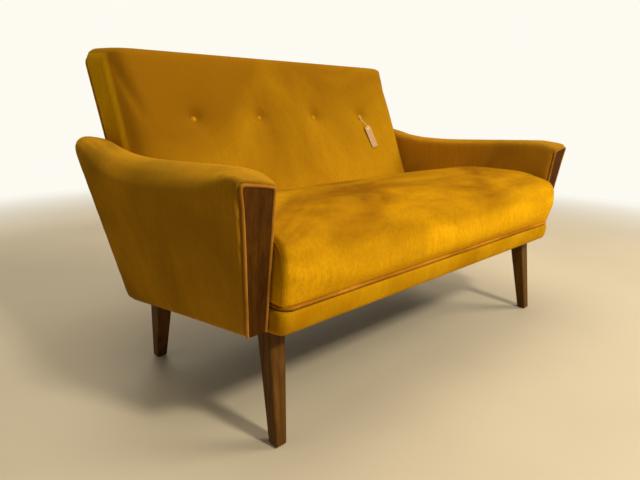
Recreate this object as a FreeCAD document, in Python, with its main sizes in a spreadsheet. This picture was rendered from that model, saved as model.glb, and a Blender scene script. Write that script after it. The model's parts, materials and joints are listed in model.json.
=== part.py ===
"""Two-seater sofa: sprung seat, buttoned back, padded arms with wooden facings, tapered legs.

Frame: +Z up, the sofa faces -Y, X = 0 is its plane of symmetry, the feet stand on Z = 0 and the
origin is the middle of the footprint of its bounding box. Millimetres.

The sofa is drawn mostly from its side view. There it is bounded by a few straight lines: the
front of the arms leans forward, the back cushion and the rear lean backward, and the underside
slopes down to the rear. Members are cut to these lines, so one size moves everything on it.
"""
import FreeCAD, Part
import math
import os
import Sketcher

Vector = FreeCAD.Vector
doc = FreeCAD.newDocument("sofa")

# ---------------------------------------------------------------- driving sizes

SIZES = {
    # footprint and legs
    "front_foot_y": -372.4,
    "foot_spacing_y": 487.0,
    "foot_half_spacing_x": 515.0,
    "foot_side": 26.0,
    "leg_top_side": 41.0,
    "front_leg_top_x": 500.0,
    "front_leg_rake": 37.0,
    "rear_leg_top_x": 513.0,
    "rear_leg_rake": 28.0,
    "front_leg_height": 236.0,
    "rear_leg_height": 158.0,
    "leg_edge_radius": 4.0,
    "foot_chamfer": 4.0,
    "leg_spare": 12.0,
    "leg_reach": 100.0,
    # leaning lines of the side view, each a run per unit of rise
    "front_lean": 0.117,
    "back_lean": 0.40,
    "rear_lean": 0.459,
    "base_slope": 0.152,
    "base_front_z": 243.0,
    "facing_front_y": -2.0,
    "back_face_y": 566.0,
    "button_z": 599.5,
    "back_top_front_z": 770.0,
    "back_top_rear_z": 763.0,
    "rear_top_y": 788.0,
    "rear_top_z": 738.0,
    # arms
    "arm_inner_x": 532.0,
    "arm_base_outer_x": 582.0,
    "arm_flare": 0.104,
    "crest_front_z": 527.0,
    "crest_hump_y": 20.0,
    "crest_hump_z": 541.0,
    "crest_dip_y": 375.0,
    "crest_dip_z": 530.0,
    "crest_rear_z": 557.0,
    "crest_fall": 16.0,
    "crest_radius": 34.0,
    "core_radius": 20.0,
    "arm_side_pad": 13.0,
    "arm_outer_pad": 6.0,
    "arm_top_pad": 20.0,
    "arm_post_depth": 26.0,
    "arm_rail_height": 30.0,
    "arm_rear_inset": 8.0,
    "arm_rail_side_gap": 5.0,
    "facing_welt_room": 5.0,
    "post_base_gap": 1.0,
    # wooden facings on the arm fronts
    "facing_inner_x": 543.0,
    "facing_base_outer_x": 576.0,
    "facing_mid_outer_x": 596.0,
    "facing_mid_z": 470.0,
    "facing_top_outer_x": 604.0,
    "facing_top_outer_z": 515.0,
    "facing_top_inner_z": 503.0,
    "facing_depth": 14.0,
    "facing_edge_chamfer": 1.2,
    "facing_peg_inset": 19.0,
    "facing_peg_length": 20.0,
    "facing_peg_depth": 9.0,
    # seat
    "seat_half_width": 530.0,
    "border_projection": 33.0,
    "border_low_z": 241.0,
    "border_high_z": 288.0,
    "border_padding": 13.0,
    "border_side_padding": 4.0,
    "border_corner_radius": 18.0,
    "seat_bulge_y": -55.0,
    "seat_bulge_z": 350.0,
    "seat_front_top_z": 420.0,
    "bullnose_radius": 45.0,
    "seat_crown_y": 50.0,
    "seat_crown_z": 445.0,
    "seat_crown_rear_y": 175.0,
    "seat_rear_z": 386.0,
    "seat_bulge_radius": 60.0,
    "seat_crown_front_radius": 110.0,
    "seat_crown_rear_radius": 150.0,
    "seat_lip_step": 1.5,
    "seat_step_y": -2.0,
    "border_rear_y": -6.0,
    # back
    "back_half_width": 525.0,
    "back_edge_radius": 20.0,
    "back_corner_radius": 34.0,
    "back_foam_depth": 72.0,
    "back_side_padding": 14.0,
    "back_top_padding": 28.0,
    "back_frame_inset": 4.0,
    "back_low_rail_lift": 12.0,
    "back_rail_height": 44.0,
    # frame stock
    "rail_thickness": 26.0,
    "side_rail_thickness": 24.0,
    "rail_height": 50.0,
    "front_rail_top_z": 286.0,
    "front_rail_low_z": 243.5,
    "back_post_thickness": 30.0,
    "corner_block_side": 66.0,
    "corner_block_height": 36.0,
    "frame_gap": 0.2,
    "rear_rail_inset": 8.0,
    # springs and coverings
    "spring_wire_radius": 1.9,
    "spring_front_y": -10.0,
    "spring_front_z": 289.0,
    "spring_slope": 0.137,
    "spring_start_y": -12.0,
    "spring_end_y": 543.0,
    "spring_width": 46.0,
    "spring_side_distance": 96.0,
    "clip_width": 18.0,
    "clip_length": 11.0,
    "clip_wall": 0.9,
    "hessian_front_y": 4.0,
    "hessian_rear_y": 486.0,
    "hessian_side_gap": 6.0,
    "cover_thickness": 2.0,
    "sheet_thickness": 1.2,
    "webbing_width": 50.0,
    "webbing_thickness": 1.6,
    "upright_webbing_spacing": 220.0,
    "cross_webbing_low_z": 370.0,
    "cross_webbing_spacing": 115.0,
    "layer_gap": 0.3,
    "welt_radius": 3.8,
    "facing_welt_radius": 3.3,
    # fasteners
    "plate_side": 62.0,
    "plate_thickness": 2.5,
    "plate_screw_inset": 8.0,
    "plate_screw_radius": 2.0,
    "plate_screw_length": 13.0,
    "plate_screw_head_radius": 4.0,
    "plate_screw_head_height": 1.6,
    "plate_screw_sink": 0.8,
    "stud_radius": 4.0,
    "stud_length": 60.0,
    "stud_in_leg": 31.0,
    "dowel_radius": 4.0,
    "dowel_length": 38.0,
    "dowel_low_lift": 14.0,
    "dowel_spacing": 20.0,
    "arm_bolt_radius": 4.0,
    "arm_bolt_length": 60.0,
    "arm_bolt_head_radius": 7.0,
    "arm_bolt_head_height": 6.0,
    "arm_bolt_first_y": 150.0,
    "arm_bolt_spacing": 125.0,
    "arm_bolt_lift": 26.0,
    "hole_clearance": 0.06,
    "hole_spare": 1.0,
    # buttons
    "button_spacing": 218.0,
    "button_radius": 10.5,
    "dimple_depth": 12.0,
    "dimple_floor_radius": 12.5,
    "dimple_mouth_radius": 42.0,
    "button_rim_height": 1.6,
    "button_crown": 4.6,
    "button_lift": 2.6,
    "shank_radius": 3.0,
    "shank_length": 6.0,
    "twine_radius": 1.0,
    "twine_hole_radius": 3.5,
    "toggle_radius": 6.0,
    "toggle_thickness": 4.0,
    # paper tag that hangs from the last button
    "tag_width": 31.0,
    "tag_length": 78.0,
    "tag_thickness": 0.8,
    "tag_drop": 48.2,
    "tag_edge_distance": 8.0,
    "tag_corner_clip": 7.0,
    "eyelet_rim_radius": 6.0,
    "eyelet_hole_radius": 2.6,
    "eyelet_lip": 0.5,
    "tag_tilt": 12.0,
    "tag_gap": 3.2,
    "string_radius": 0.6,
    "string_loop_radius": 3.95,
}


class Dim:
    """A size that carries both its value and the sheet formula that gives it."""

    def __init__(self, value, text):
        self.value = value
        self.text = text

    def __add__(self, other):
        other = as_dim(other)
        return Dim(self.value + other.value, f"({self.text} + {other.text})")

    def __sub__(self, other):
        other = as_dim(other)
        return Dim(self.value - other.value, f"({self.text} - {other.text})")

    def __mul__(self, other):
        other = as_dim(other)
        return Dim(self.value * other.value, f"({self.text} * {other.text})")

    def __truediv__(self, other):
        other = as_dim(other)
        return Dim(self.value / other.value, f"({self.text} / {other.text})")

    def __neg__(self):
        return Dim(-self.value, f"(0 - {self.text})")


def as_dim(number):
    """Wrap a plain number so that it can stand in a formula."""
    if isinstance(number, Dim):
        return number
    return Dim(float(number), repr(float(number)))


def fill_sheet():
    """Write every driving size to the sheet and return them as Dim objects by name."""
    sheet = doc.addObject("Spreadsheet::Sheet", "sizes")
    found = {}
    for row, (alias, value) in enumerate(SIZES.items(), start=1):
        sheet.set(f"A{row}", alias.replace("_", " "))
        sheet.set(f"B{row}", str(value))
        sheet.setAlias(f"B{row}", alias)
        found[alias] = Dim(value, f"sizes.{alias}")
    doc.recompute()
    return found


D = fill_sheet()


# ---------------------------------------------------------------- lines of the side view

class Steep:
    """A leaning line, y = start + lean * z."""

    def __init__(self, start, lean):
        self.start = as_dim(start)
        self.lean = as_dim(lean)

    def moved(self, distance):
        return Steep(self.start + distance, self.lean)

    def at(self, z):
        return self.start + self.lean * z


class Flat:
    """A nearly level line, z = start + slope * y."""

    def __init__(self, start, slope=0.0):
        self.start = as_dim(start)
        self.slope = as_dim(slope)

    def raised(self, distance):
        return Flat(self.start + distance, self.slope)

    def at(self, y):
        return self.start + self.slope * y


def meet(steep, flat):
    """The point where a leaning line crosses a nearly level one."""
    y = (steep.start + steep.lean * flat.start) / (as_dim(1) - steep.lean * flat.slope)
    return y, flat.at(y)


def from_foot(distance):
    """A place in Y measured rearward from the front feet."""
    return D["front_foot_y"] + distance


def quad(front, rear, low, high):
    """The four corners between two leaning lines and two level ones."""
    return [meet(front, low), meet(rear, low), meet(rear, high), meet(front, high)]


front_line = Steep(from_foot(D["facing_front_y"]) + D["front_lean"] * D["base_front_z"],
                   -D["front_lean"])
border_line = front_line.moved(-D["border_projection"])
back_line = Steep(from_foot(D["back_face_y"]) - D["back_lean"] * D["button_z"], D["back_lean"])
rear_line = Steep(from_foot(D["rear_top_y"]) - D["rear_lean"] * D["rear_top_z"], D["rear_lean"])
base_line = Flat(D["base_front_z"] + D["base_slope"] * D["front_foot_y"], -D["base_slope"])
spring_line = Flat(D["spring_front_z"] + D["spring_slope"] * from_foot(D["spring_front_y"]),
                   -D["spring_slope"])

# lines and spans well outside the sofa, for the forms that only cut others
far_front = Steep(from_foot(-200), 0)
far_rear = Steep(from_foot(900), 0)
far_low = Flat(-20)
far_high = Flat(900)
right_end_span = (400, 700)
whole_span = (-700, 700)


# ---------------------------------------------------------------- solid makers

UP = Vector(0, 0, 1)
REARWARD = Vector(0, 1, 0)
OUTWARD = Vector(1, 0, 0)
parts = []


def keep(thing, label):
    """Give an object its part name and remember it for export."""
    thing.Label = label
    parts.append(thing)
    return thing


def plane(body, role):
    """One of a body's own origin planes."""
    return [item for item in body.Origin.OriginFeatures if item.Role == role][0]


def sketch_on(body, role, offset, name):
    """A sketch on an origin plane of the body, moved along the plane's normal."""
    sketch = body.newObject("Sketcher::SketchObject", name)
    sketch.AttachmentSupport = [(plane(body, role), "")]
    sketch.MapMode = "FlatFace"
    offset = as_dim(offset)
    sketch.AttachmentOffset = FreeCAD.Placement(Vector(0, 0, offset.value), FreeCAD.Rotation())
    sketch.setExpression("AttachmentOffset.Base.z", offset.text)
    return sketch


def tie(sketch, kind, index, end, size):
    """Bind one coordinate of a sketch point to its formula."""
    size = as_dim(size)
    place = sketch.addConstraint(Sketcher.Constraint(kind, -1, 1, index, end, size.value))
    sketch.setExpression(f"Constraints[{place}]", size.text)


def draw_polygon(sketch, points):
    """A closed outline whose corners are tied to the sheet."""
    points = [(as_dim(u), as_dim(v)) for u, v in points]
    count = len(points)
    for index, (u, v) in enumerate(points):
        next_u, next_v = points[(index + 1) % count]
        sketch.addGeometry(Part.LineSegment(Vector(u.value, v.value, 0),
                                            Vector(next_u.value, next_v.value, 0)))
    for index in range(count):
        sketch.addConstraint(Sketcher.Constraint("Coincident", index, 2, (index + 1) % count, 1))
    for index, (u, v) in enumerate(points):
        tie(sketch, "DistanceX", index, 1, u)
        tie(sketch, "DistanceY", index, 1, v)


def padded_body(name, role, points, low, high):
    """A body made by padding a polygon between two offsets from an origin plane."""
    low, high = as_dim(low), as_dim(high)
    body = doc.addObject("PartDesign::Body", name)
    sketch = sketch_on(body, role, low, name + "_outline")
    draw_polygon(sketch, points)
    pad = body.newObject("PartDesign::Pad", name + "_pad")
    pad.Profile = sketch
    pad.Length = (high - low).value
    pad.setExpression("Length", (high - low).text)
    doc.recompute()
    return body


def side_block(name, points, low_x, high_x):
    """A solid drawn in the side view (Y, Z) and as wide as low_x to high_x."""
    return padded_body(name, "YZ_Plane", points, low_x, high_x)


def leaning_block(name, points, low_x, high_x, rise):
    """A side-view outline carried from low_x to high_x while it rises by a height."""
    low_x, high_x = as_dim(low_x), as_dim(high_x)
    body = side_block(name, points, low_x, high_x)
    pad = body.Tip
    pad.UseCustomVector = True
    pad.AlongSketchNormal = True
    slope = as_dim(rise) / (high_x - low_x)
    pad.Direction = Vector(1, 0, slope.value)
    pad.setExpression("Direction.z", slope.text)
    doc.recompute()
    return body


def front_block(name, points, low_y, high_y):
    """A solid drawn in the front view (X, Z); that plane's normal points to -Y."""
    return padded_body(name, "XZ_Plane", points, -as_dim(high_y), -as_dim(low_y))


def plan_block(name, points, low_z, high_z):
    """A solid drawn in plan (X, Y)."""
    return padded_body(name, "XY_Plane", points, low_z, high_z)


def edge_numbers(shape, wanted):
    """Numbers of the edges whose middle point and direction pass a test."""
    numbers = []
    for number, edge in enumerate(shape.Edges, start=1):
        first = edge.valueAt(edge.FirstParameter)
        last = edge.valueAt(edge.LastParameter)
        if (last - first).Length > 0 and wanted((first + last) * 0.5, (last - first).normalize()):
            numbers.append(number)
    return numbers


def round_edges(name, base, wanted, radius, kind="Part::Fillet"):
    """Round or chamfer the chosen edges of an object by one radius from the sheet."""
    radius = as_dim(radius)
    edges = edge_numbers(base.Shape, wanted)
    if not edges:
        raise RuntimeError(f"no edge of {base.Name} was chosen")
    feature = doc.addObject(kind, name)
    feature.Base = base
    feature.Edges = [(number, radius.value, radius.value) for number in edges]
    doc.recompute()
    return feature


def along_x(y, z, reach=2.0):
    """A test for edges that run along X near a place in the side view."""
    y, z = as_dim(y).value, as_dim(z).value

    def wanted(middle, direction):
        return abs(direction.x) > 0.99 and math.hypot(middle.y - y, middle.z - z) < reach
    return wanted


def boolean(kind, name, base, tool):
    """A Part boolean of two objects."""
    result = doc.addObject(kind, name)
    result.Base = base
    result.Tool = tool
    doc.recompute()
    return result


def common(name, base, tool):
    return boolean("Part::Common", name, base, tool)


def cut(name, base, *tools):
    """Take each tool away from the base in turn."""
    result = base
    for number, tool in enumerate(tools, start=1):
        step = name if number == len(tools) else f"{name}_step{number}"
        result = boolean("Part::Cut", step, result, tool)
    return result


def group(name, members):
    """Several separate solids as one object."""
    result = doc.addObject("Part::Compound", name)
    result.Links = members
    doc.recompute()
    return result


def mirrored(name, source):
    """The other-hand copy of an object across the sofa's plane of symmetry."""
    result = doc.addObject("Part::Mirroring", name)
    result.Source = source
    result.Normal = Vector(1, 0, 0)
    result.Base = Vector(0, 0, 0)
    doc.recompute()
    return result


def keep_pair(stem, right):
    """Keep a right-hand part and its left-hand mirror image."""
    keep(right, stem + "_right")
    keep(mirrored(stem + "_mirror", right), stem + "_left")


def keep_both_sides(name, right):
    """Keep several right-hand solids and their mirror images as one part."""
    one_side = group(name + "_one_side", right)
    keep(group(name, [one_side, mirrored(name + "_other_side", one_side)]), name)


def rod(name, radius, length, base, axis):
    """A cylinder from a base point along an axis."""
    radius, length = as_dim(radius), as_dim(length)
    cylinder = doc.addObject("Part::Cylinder", name)
    cylinder.Radius = radius.value
    cylinder.setExpression("Radius", radius.text)
    cylinder.Height = length.value
    cylinder.setExpression("Height", length.text)
    cylinder.Placement = FreeCAD.Placement(base, FreeCAD.Rotation(Vector(0, 0, 1), axis))
    return cylinder


def rods(name, radius, length, bases, axis):
    """A row of equal cylinders as one group."""
    members = [rod(f"{name}_{number}", radius, length, base, axis)
               for number, base in enumerate(bases, start=1)]
    return group(name, members)


# ---------------------------------------------------------------- legs

def tapered_side(foot_at, top_at, height):
    """One view of a leg, from a little below its foot to its top, as four corners."""
    foot_half = D["foot_side"] / 2
    top_half = D["leg_top_side"] / 2
    below = D["leg_spare"]
    share = below / height
    drift = (top_at - foot_at) * share
    taper = (top_half - foot_half) * share
    return [(foot_at - foot_half - drift + taper, -below),
            (foot_at + foot_half - drift - taper, -below),
            (top_at + top_half, height), (top_at - top_half, height)]


def flared_side(foot_at, height):
    """One view of the room above a chamfered foot, which widens by its own height."""
    half = D["foot_side"] / 2 - D["foot_chamfer"]
    return [(foot_at - half, 0), (foot_at + half, 0),
            (foot_at + half + height, height), (foot_at - half - height, height)]


def leg(name, foot_y, top_x, top_y, height, room):
    """A square leg with rounded edges, tapered and raked from its foot to its top.

    It is what its side view and its front view have in common, cut level at the foot and to the
    slope of the underside at the top, with four chamfers round the foot.
    """
    foot_x = D["foot_half_spacing_x"]
    reach = D["leg_reach"]
    side = side_block(name + "_side", tapered_side(foot_y, top_y, height),
                      foot_x - reach, foot_x + reach)
    front = front_block(name + "_front", tapered_side(foot_x, top_x, height),
                        foot_y - reach, foot_y + reach)
    rounded = round_edges(name + "_rounded", common(name + "_square", side, front),
                          lambda middle, way: abs(way.z) > 0.4, D["leg_edge_radius"])
    foot_side = side_block(name + "_foot_side", flared_side(foot_y, height),
                           foot_x - reach, foot_x + reach)
    foot_front = front_block(name + "_foot_front", flared_side(foot_x, height),
                             foot_y - reach, foot_y + reach)
    foot_room = common(name + "_foot_room", foot_side, foot_front)
    return common(name + "_level", common(name + "_footed", rounded, foot_room), room)


def upright_hole(name, x, y, depth, height):
    """A clearance hole for a leg stud, from a depth below the underside to a height above it."""
    x, y = as_dim(x).value, as_dim(y).value
    low = base_line.at(y).value - depth
    return rod(name, D["stud_radius"] + D["hole_clearance"], depth + height, Vector(x, y, low), UP)


def plate_screw(name, x, y, low):
    """A countersunk screw that holds a leg plate, from the plate's lower face upward."""
    sink, head_height = D["plate_screw_sink"].value, D["plate_screw_head_height"].value
    head = rod(name + "_head", D["plate_screw_head_radius"], head_height,
               Vector(x, y, low - sink - head_height + 0.1), UP)
    shank = rod(name + "_shank", D["plate_screw_radius"], D["plate_screw_length"],
                Vector(x, y, low - sink), UP)
    return boolean("Part::Fuse", name, head, shank)


def leg_plate(end, x, y, stud_hole, plate_room):
    """One leg plate with its four screws."""
    half = D["plate_side"] / 2
    plan = plan_block(end + "_plate_plan", [(x - half, y - half), (x + half, y - half),
                                            (x + half, y + half), (x - half, y + half)],
                      far_low.start, far_high.start)
    inset = half - D["plate_screw_inset"]
    screws, screw_holes = [], []
    for number, (across, along) in enumerate(((-1, -1), (-1, 1), (1, -1), (1, 1)), start=1):
        at_x, at_y = (x + inset * across).value, (y + inset * along).value
        low = base_line.at(at_y).value - D["plate_thickness"].value
        screws.append(plate_screw(f"{end}_screw_{number}", at_x, at_y, low))
        screw_holes.append(rod(f"{end}_screw_hole_{number}", D["plate_screw_radius"] + 0.1, 60,
                               Vector(at_x, at_y, low - 30), UP))
    blank = common(end + "_plate_blank", plan, plate_room)
    return cut(end + "_plate", blank, stud_hole, group(end + "_screw_holes", screw_holes)), screws


def build_legs():
    """Four legs cut to the slope of the underside, each with its plate and stud."""
    front_top_y = from_foot(D["front_leg_rake"])
    rear_foot_y = from_foot(D["foot_spacing_y"])
    rear_top_y = rear_foot_y - D["rear_leg_rake"]
    under_plates = base_line.raised(-D["plate_thickness"])
    leg_room = side_block("under_plates", quad(far_front, far_rear, Flat(0), under_plates),
                          *right_end_span)
    plate_room = side_block("plate_room", quad(far_front, far_rear, under_plates, base_line),
                            *right_end_span)
    studs, holes, plates, screws = [], [], [], []
    spare = D["leg_spare"]
    spots = [("front", from_foot(0), D["front_leg_top_x"], front_top_y,
              D["front_leg_height"] + spare),
             ("rear", rear_foot_y, D["rear_leg_top_x"], rear_top_y, D["rear_leg_height"] + spare)]
    stud_length, stud_in_leg = D["stud_length"].value, D["stud_in_leg"].value
    for end, foot_y, top_x, top_y, height in spots:
        blank = leg(end + "_leg_blank", foot_y, top_x, top_y, height, leg_room)
        socket = upright_hole(end + "_socket", top_x, top_y, stud_in_leg + 1, stud_length)
        keep_pair(end + "_leg", cut(end + "_leg_drilled", blank, socket))
        hole = upright_hole(end + "_stud_hole", top_x, top_y, stud_length, stud_length)
        holes.append(hole)
        plate, plate_screws = leg_plate(end, top_x, top_y, hole, plate_room)
        plates.append(plate)
        screws.extend(plate_screws)
        studs.append(rod(end + "_stud", D["stud_radius"], stud_length,
                         Vector(top_x.value, top_y.value,
                                base_line.at(top_y).value - stud_in_leg), UP))
    for name, right in (("leg_plates", plates), ("leg_studs", studs), ("plate_screws", screws)):
        keep_both_sides(name, right)
    return group("stud_holes", holes)


# ---------------------------------------------------------------- seat frame

def frame_dowels(middle_x, front_joint, rear_joint):
    """Two dowels at each end of a side rail, and the holes that they sit in."""
    length = D["dowel_length"].value
    hole_radius = D["dowel_radius"] + D["hole_clearance"]
    dowels, holes = [], []
    for number in (1, 2):
        lift = D["dowel_low_lift"] + D["dowel_spacing"] * (number - 1)
        front_z = D["front_rail_low_z"] + lift - 2
        rear_y, rear_z = meet(rear_joint, base_line.raised(lift))
        for end, y, z in (("front", front_joint.at(front_z), front_z), ("rear", rear_y, rear_z)):
            middle = Vector(middle_x, y.value, z.value)
            dowels.append(rod(f"{end}_dowel_{number}", D["dowel_radius"], length,
                              middle - REARWARD * (length / 2), REARWARD))
            holes.append(rod(f"{end}_dowel_hole_{number}", hole_radius,
                             length + 2 * D["hole_spare"].value,
                             middle - REARWARD * (length / 2 + D["hole_spare"].value), REARWARD))
    keep_both_sides("seat_frame_dowels", dowels)
    return group("dowel_holes", holes)


def arm_bolts(start_x):
    """The bolts that hold an arm to the seat frame, and the holes that they sit in."""
    length = D["arm_bolt_length"].value
    bolts, holes = [], []
    for number in (1, 2, 3):
        y = from_foot(D["arm_bolt_first_y"] + D["arm_bolt_spacing"] * (number - 1)).value
        start = Vector(start_x, y, base_line.at(y).value + D["arm_bolt_lift"].value)
        head = rod(f"arm_bolt_head_{number}", D["arm_bolt_head_radius"],
                   D["arm_bolt_head_height"], start, OUTWARD)
        shank = rod(f"arm_bolt_shank_{number}", D["arm_bolt_radius"], length, start, OUTWARD)
        bolts.append(boolean("Part::Fuse", f"arm_bolt_{number}", head, shank))
        holes.append(rod(f"arm_bolt_hole_{number}", D["arm_bolt_radius"] + D["hole_clearance"],
                         length + D["hole_spare"].value, start, OUTWARD))
    keep_both_sides("arm_bolts", bolts)
    return group("arm_bolt_holes", holes)


def build_seat_frame(stud_holes):
    """Front, rear and side rails with corner blocks, dowels and the bolts that hold the arms."""
    side_x = D["arm_inner_x"] - D["frame_gap"]
    inner_side_x = side_x - D["side_rail_thickness"]
    front_face = border_line.moved(D["border_padding"])
    front_rear = front_face.moved(D["rail_thickness"])
    rear_face = rear_line.moved(-D["rear_rail_inset"])
    rear_front = rear_face.moved(-D["rail_thickness"])
    rail_top = base_line.raised(D["rail_height"])

    holes = frame_dowels((inner_side_x + D["side_rail_thickness"] / 2).value, front_rear,
                         rear_front)
    both_holes = group("dowel_holes_all", [holes, mirrored("dowel_holes_other", holes)])
    front_half = D["seat_half_width"] - D["border_side_padding"]
    front = side_block("front_rail_blank",
                       quad(front_face, front_rear, Flat(D["front_rail_low_z"]),
                            Flat(D["front_rail_top_z"])), -front_half, front_half)
    keep(cut("front_rail_drilled", front, both_holes), "seat_front_rail")
    rear = side_block("rear_rail_blank", quad(rear_front, rear_face, base_line, rail_top),
                      -side_x, side_x)
    keep(cut("rear_rail_drilled", rear, both_holes), "seat_rear_rail")

    arm_bolt_holes = arm_bolts((inner_side_x - D["arm_bolt_head_height"]).value)
    side = side_block("side_rail_blank", quad(front_rear, rear_front, base_line, rail_top),
                      inner_side_x, side_x)
    side = common("side_rail_low", side,
                  side_block("under_springs", quad(far_front, far_rear, far_low,
                                                   spring_line.raised(-3)), *right_end_span))
    keep_pair("seat_side_rail", cut("seat_side_rail_drilled", side, holes, arm_bolt_holes,
                                    stud_holes))

    block_side = D["corner_block_side"]
    high = base_line.raised(D["corner_block_height"])
    blocks = []
    spans = (("front", front_rear, front_rear.moved(block_side)),
             ("rear", rear_front.moved(-block_side), rear_front))
    for end, near, far in spans:
        blocks.append(side_block(end + "_block", quad(near, far, base_line, high),
                                 inner_side_x - block_side, inner_side_x))
    pair = cut("corner_blocks_drilled", group("corner_blocks_blank", blocks), stud_holes,
               group("block_dowel_room", [holes, arm_bolt_holes]))
    keep_both_sides("corner_blocks", [pair])
    return arm_bolt_holes


# ---------------------------------------------------------------- arms

def arm_envelope(name, inner, outer, top, front, rear, low, radius=None):
    """The arm's outer form, drawn in by a distance on each side.

    Its crest is three flat lengths that fall towards the seat, rounded along the outer side by
    the radius; its outer side flares upward. A distance below 0 lets that side stand proud.
    """
    inner_x = D["arm_inner_x"] + inner
    wide_x = D["arm_base_outer_x"] + 40
    fall = D["crest_fall"]
    front_face, rear_face = front_line.moved(front), rear_line.moved(-as_dim(rear))
    crest = [(front_face.at(D["crest_front_z"]), D["crest_front_z"]),
             (from_foot(D["crest_hump_y"]), D["crest_hump_z"]),
             (from_foot(D["crest_dip_y"]), D["crest_dip_z"]),
             (rear_face.at(D["crest_rear_z"]), D["crest_rear_z"])]
    outline = [(y, z - fall - top) for y, z in reversed(crest)]
    feet = [(crest[0][0], far_low.start), (crest[-1][0], far_low.start)]
    crested = leaning_block(name + "_crest", feet + outline, D["arm_inner_x"], wide_x, fall)
    ends = side_block(name + "_ends", quad(front_face, rear_face, base_line.raised(low),
                                           far_high), *right_end_span)
    outer_base_x = D["arm_base_outer_x"] - outer

    def outer_at(z):
        return outer_base_x + D["arm_flare"] * (z - D["base_front_z"])
    low_z, high_z = far_low.start, far_high.start
    across = front_block(name + "_across",
                         [(inner_x, low_z), (outer_at(low_z), low_z),
                          (outer_at(high_z), high_z), (inner_x, high_z)],
                         far_front.start, far_rear.start)
    body = common(name + "_body", common(name + "_wedge", crested, across), ends)
    if radius is None:
        return body
    return round_edges(name + "_rounded", body, top_outer_edges, radius)


def top_outer_edges(middle, way):
    """Edges that run along the outer crest of a right-hand arm."""
    return abs(way.y) > 0.9 and middle.z > 480 and middle.x > 585


def build_arms(arm_bolt_holes, peg_holes, board):
    """Each arm: a four-piece frame, a pad over it, a cover over that and a wooden facing."""
    thick = D["cover_thickness"]
    pad_inner, pad_outer = D["arm_side_pad"], D["arm_outer_pad"]
    pad_top = D["arm_top_pad"]
    welt_room = D["facing_welt_room"]
    radius = D["crest_radius"]

    outside = arm_envelope("arm_outside", 0, 0, 0, welt_room, 0, 0, radius)
    lining = arm_envelope("arm_lining", thick, thick, thick, -30, thick, -60, radius - thick)
    padding = arm_envelope("arm_padding", thick, thick, thick, welt_room, thick, thick,
                           radius - thick)
    core = arm_envelope("arm_core", pad_inner, pad_outer, pad_top, -30, D["arm_rear_inset"], -60,
                        D["core_radius"])
    keep_pair("arm_cover", cut("arm_cover_shell", outside, lining, arm_bolt_holes))

    post_front = front_line.moved(D["facing_depth"])
    post_rear = post_front.moved(D["arm_post_depth"])
    rear_post_rear = rear_line.moved(-(D["arm_rear_inset"] + 2))
    rear_post_front = rear_post_rear.moved(-D["arm_post_depth"])
    rail_top = base_line.raised(D["rail_height"])
    rail_outer_x = D["arm_base_outer_x"] - pad_outer - D["arm_rail_side_gap"]
    lower_rail = side_block("arm_lower_blank", quad(post_rear, rear_post_front, base_line,
                                                    rail_top),
                            D["arm_inner_x"] + thick, rail_outer_x)
    lower_rail_room = side_block("arm_lower_room",
                                 quad(post_rear, rear_line, base_line.raised(-5),
                                      rail_top.raised(D["layer_gap"])),
                                 D["arm_inner_x"] - 1, rail_outer_x)
    keep_pair("arm_pad", cut("arm_pad_saddle", padding, core, lower_rail_room, board))
    keep_pair("arm_lower_rail", cut("arm_lower_drilled", lower_rail, arm_bolt_holes))

    post_low = base_line.raised(D["post_base_gap"])
    front_zone = side_block("front_post_zone", quad(post_front, post_rear, post_low, far_high),
                            *right_end_span)
    front_post = common("front_post_cut", core, front_zone)
    keep_pair("arm_front_post", cut("front_post_bored", front_post, peg_holes))
    rear_zone = side_block("rear_post_zone", quad(rear_post_front, rear_post_rear, post_low,
                                                  far_high), *right_end_span)
    keep_pair("arm_rear_post", common("rear_post_cut", core, rear_zone))

    def rail_low(crest_z):
        return crest_z - D["crest_fall"] - pad_top - D["arm_rail_height"]
    top_zone = side_block("top_rail_zone",
                          [meet(post_rear, Flat(rail_low(D["crest_hump_z"]))),
                           (from_foot(D["crest_dip_y"]), rail_low(D["crest_dip_z"])),
                           meet(rear_post_front, Flat(rail_low(D["crest_rear_z"]))),
                           meet(rear_post_front, far_high), meet(post_rear, far_high)],
                          *right_end_span)
    keep_pair("arm_top_rail", common("top_rail_cut", core, top_zone))


def facing_pegs():
    """Pegs that hold each facing to the front post, and the bores they sit in."""
    radius, length = D["dowel_radius"], D["facing_peg_length"].value
    depth, spare = D["facing_peg_depth"].value, D["hole_spare"].value
    middle_x = (D["facing_inner_x"] + D["facing_peg_inset"]).value
    pegs, bores = [], []
    for number, share in enumerate((0.2, 0.5, 0.8), start=1):
        z = (D["base_front_z"] + (D["facing_top_inner_z"] - D["base_front_z"]) * share).value
        joint = Vector(middle_x, front_line.at(z).value + D["facing_depth"].value, z)
        pegs.append(rod(f"peg_{number}", radius, length, joint - REARWARD * depth, REARWARD))
        bores.append(rod(f"peg_hole_{number}", radius + D["hole_clearance"], length + 2 * spare,
                         joint - REARWARD * (depth + spare), REARWARD))
    keep_both_sides("facing_pegs", pegs)
    return group("peg_holes", bores)


def facing_board():
    """The plain wedge of wood that a facing is made from."""
    low_z = D["base_front_z"] + 1
    outline = [(D["facing_inner_x"], low_z), (D["facing_base_outer_x"], low_z),
               (D["facing_mid_outer_x"], D["facing_mid_z"]),
               (D["facing_top_outer_x"], D["facing_top_outer_z"]),
               (D["facing_inner_x"], D["facing_top_inner_z"])]
    across = front_block("facing_outline", outline, far_front.start, far_rear.start)
    slab = side_block("facing_slab", quad(front_line, front_line.moved(D["facing_depth"]),
                                          far_low, far_high), *right_end_span)
    return common("facing_board", across, slab)


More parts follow.
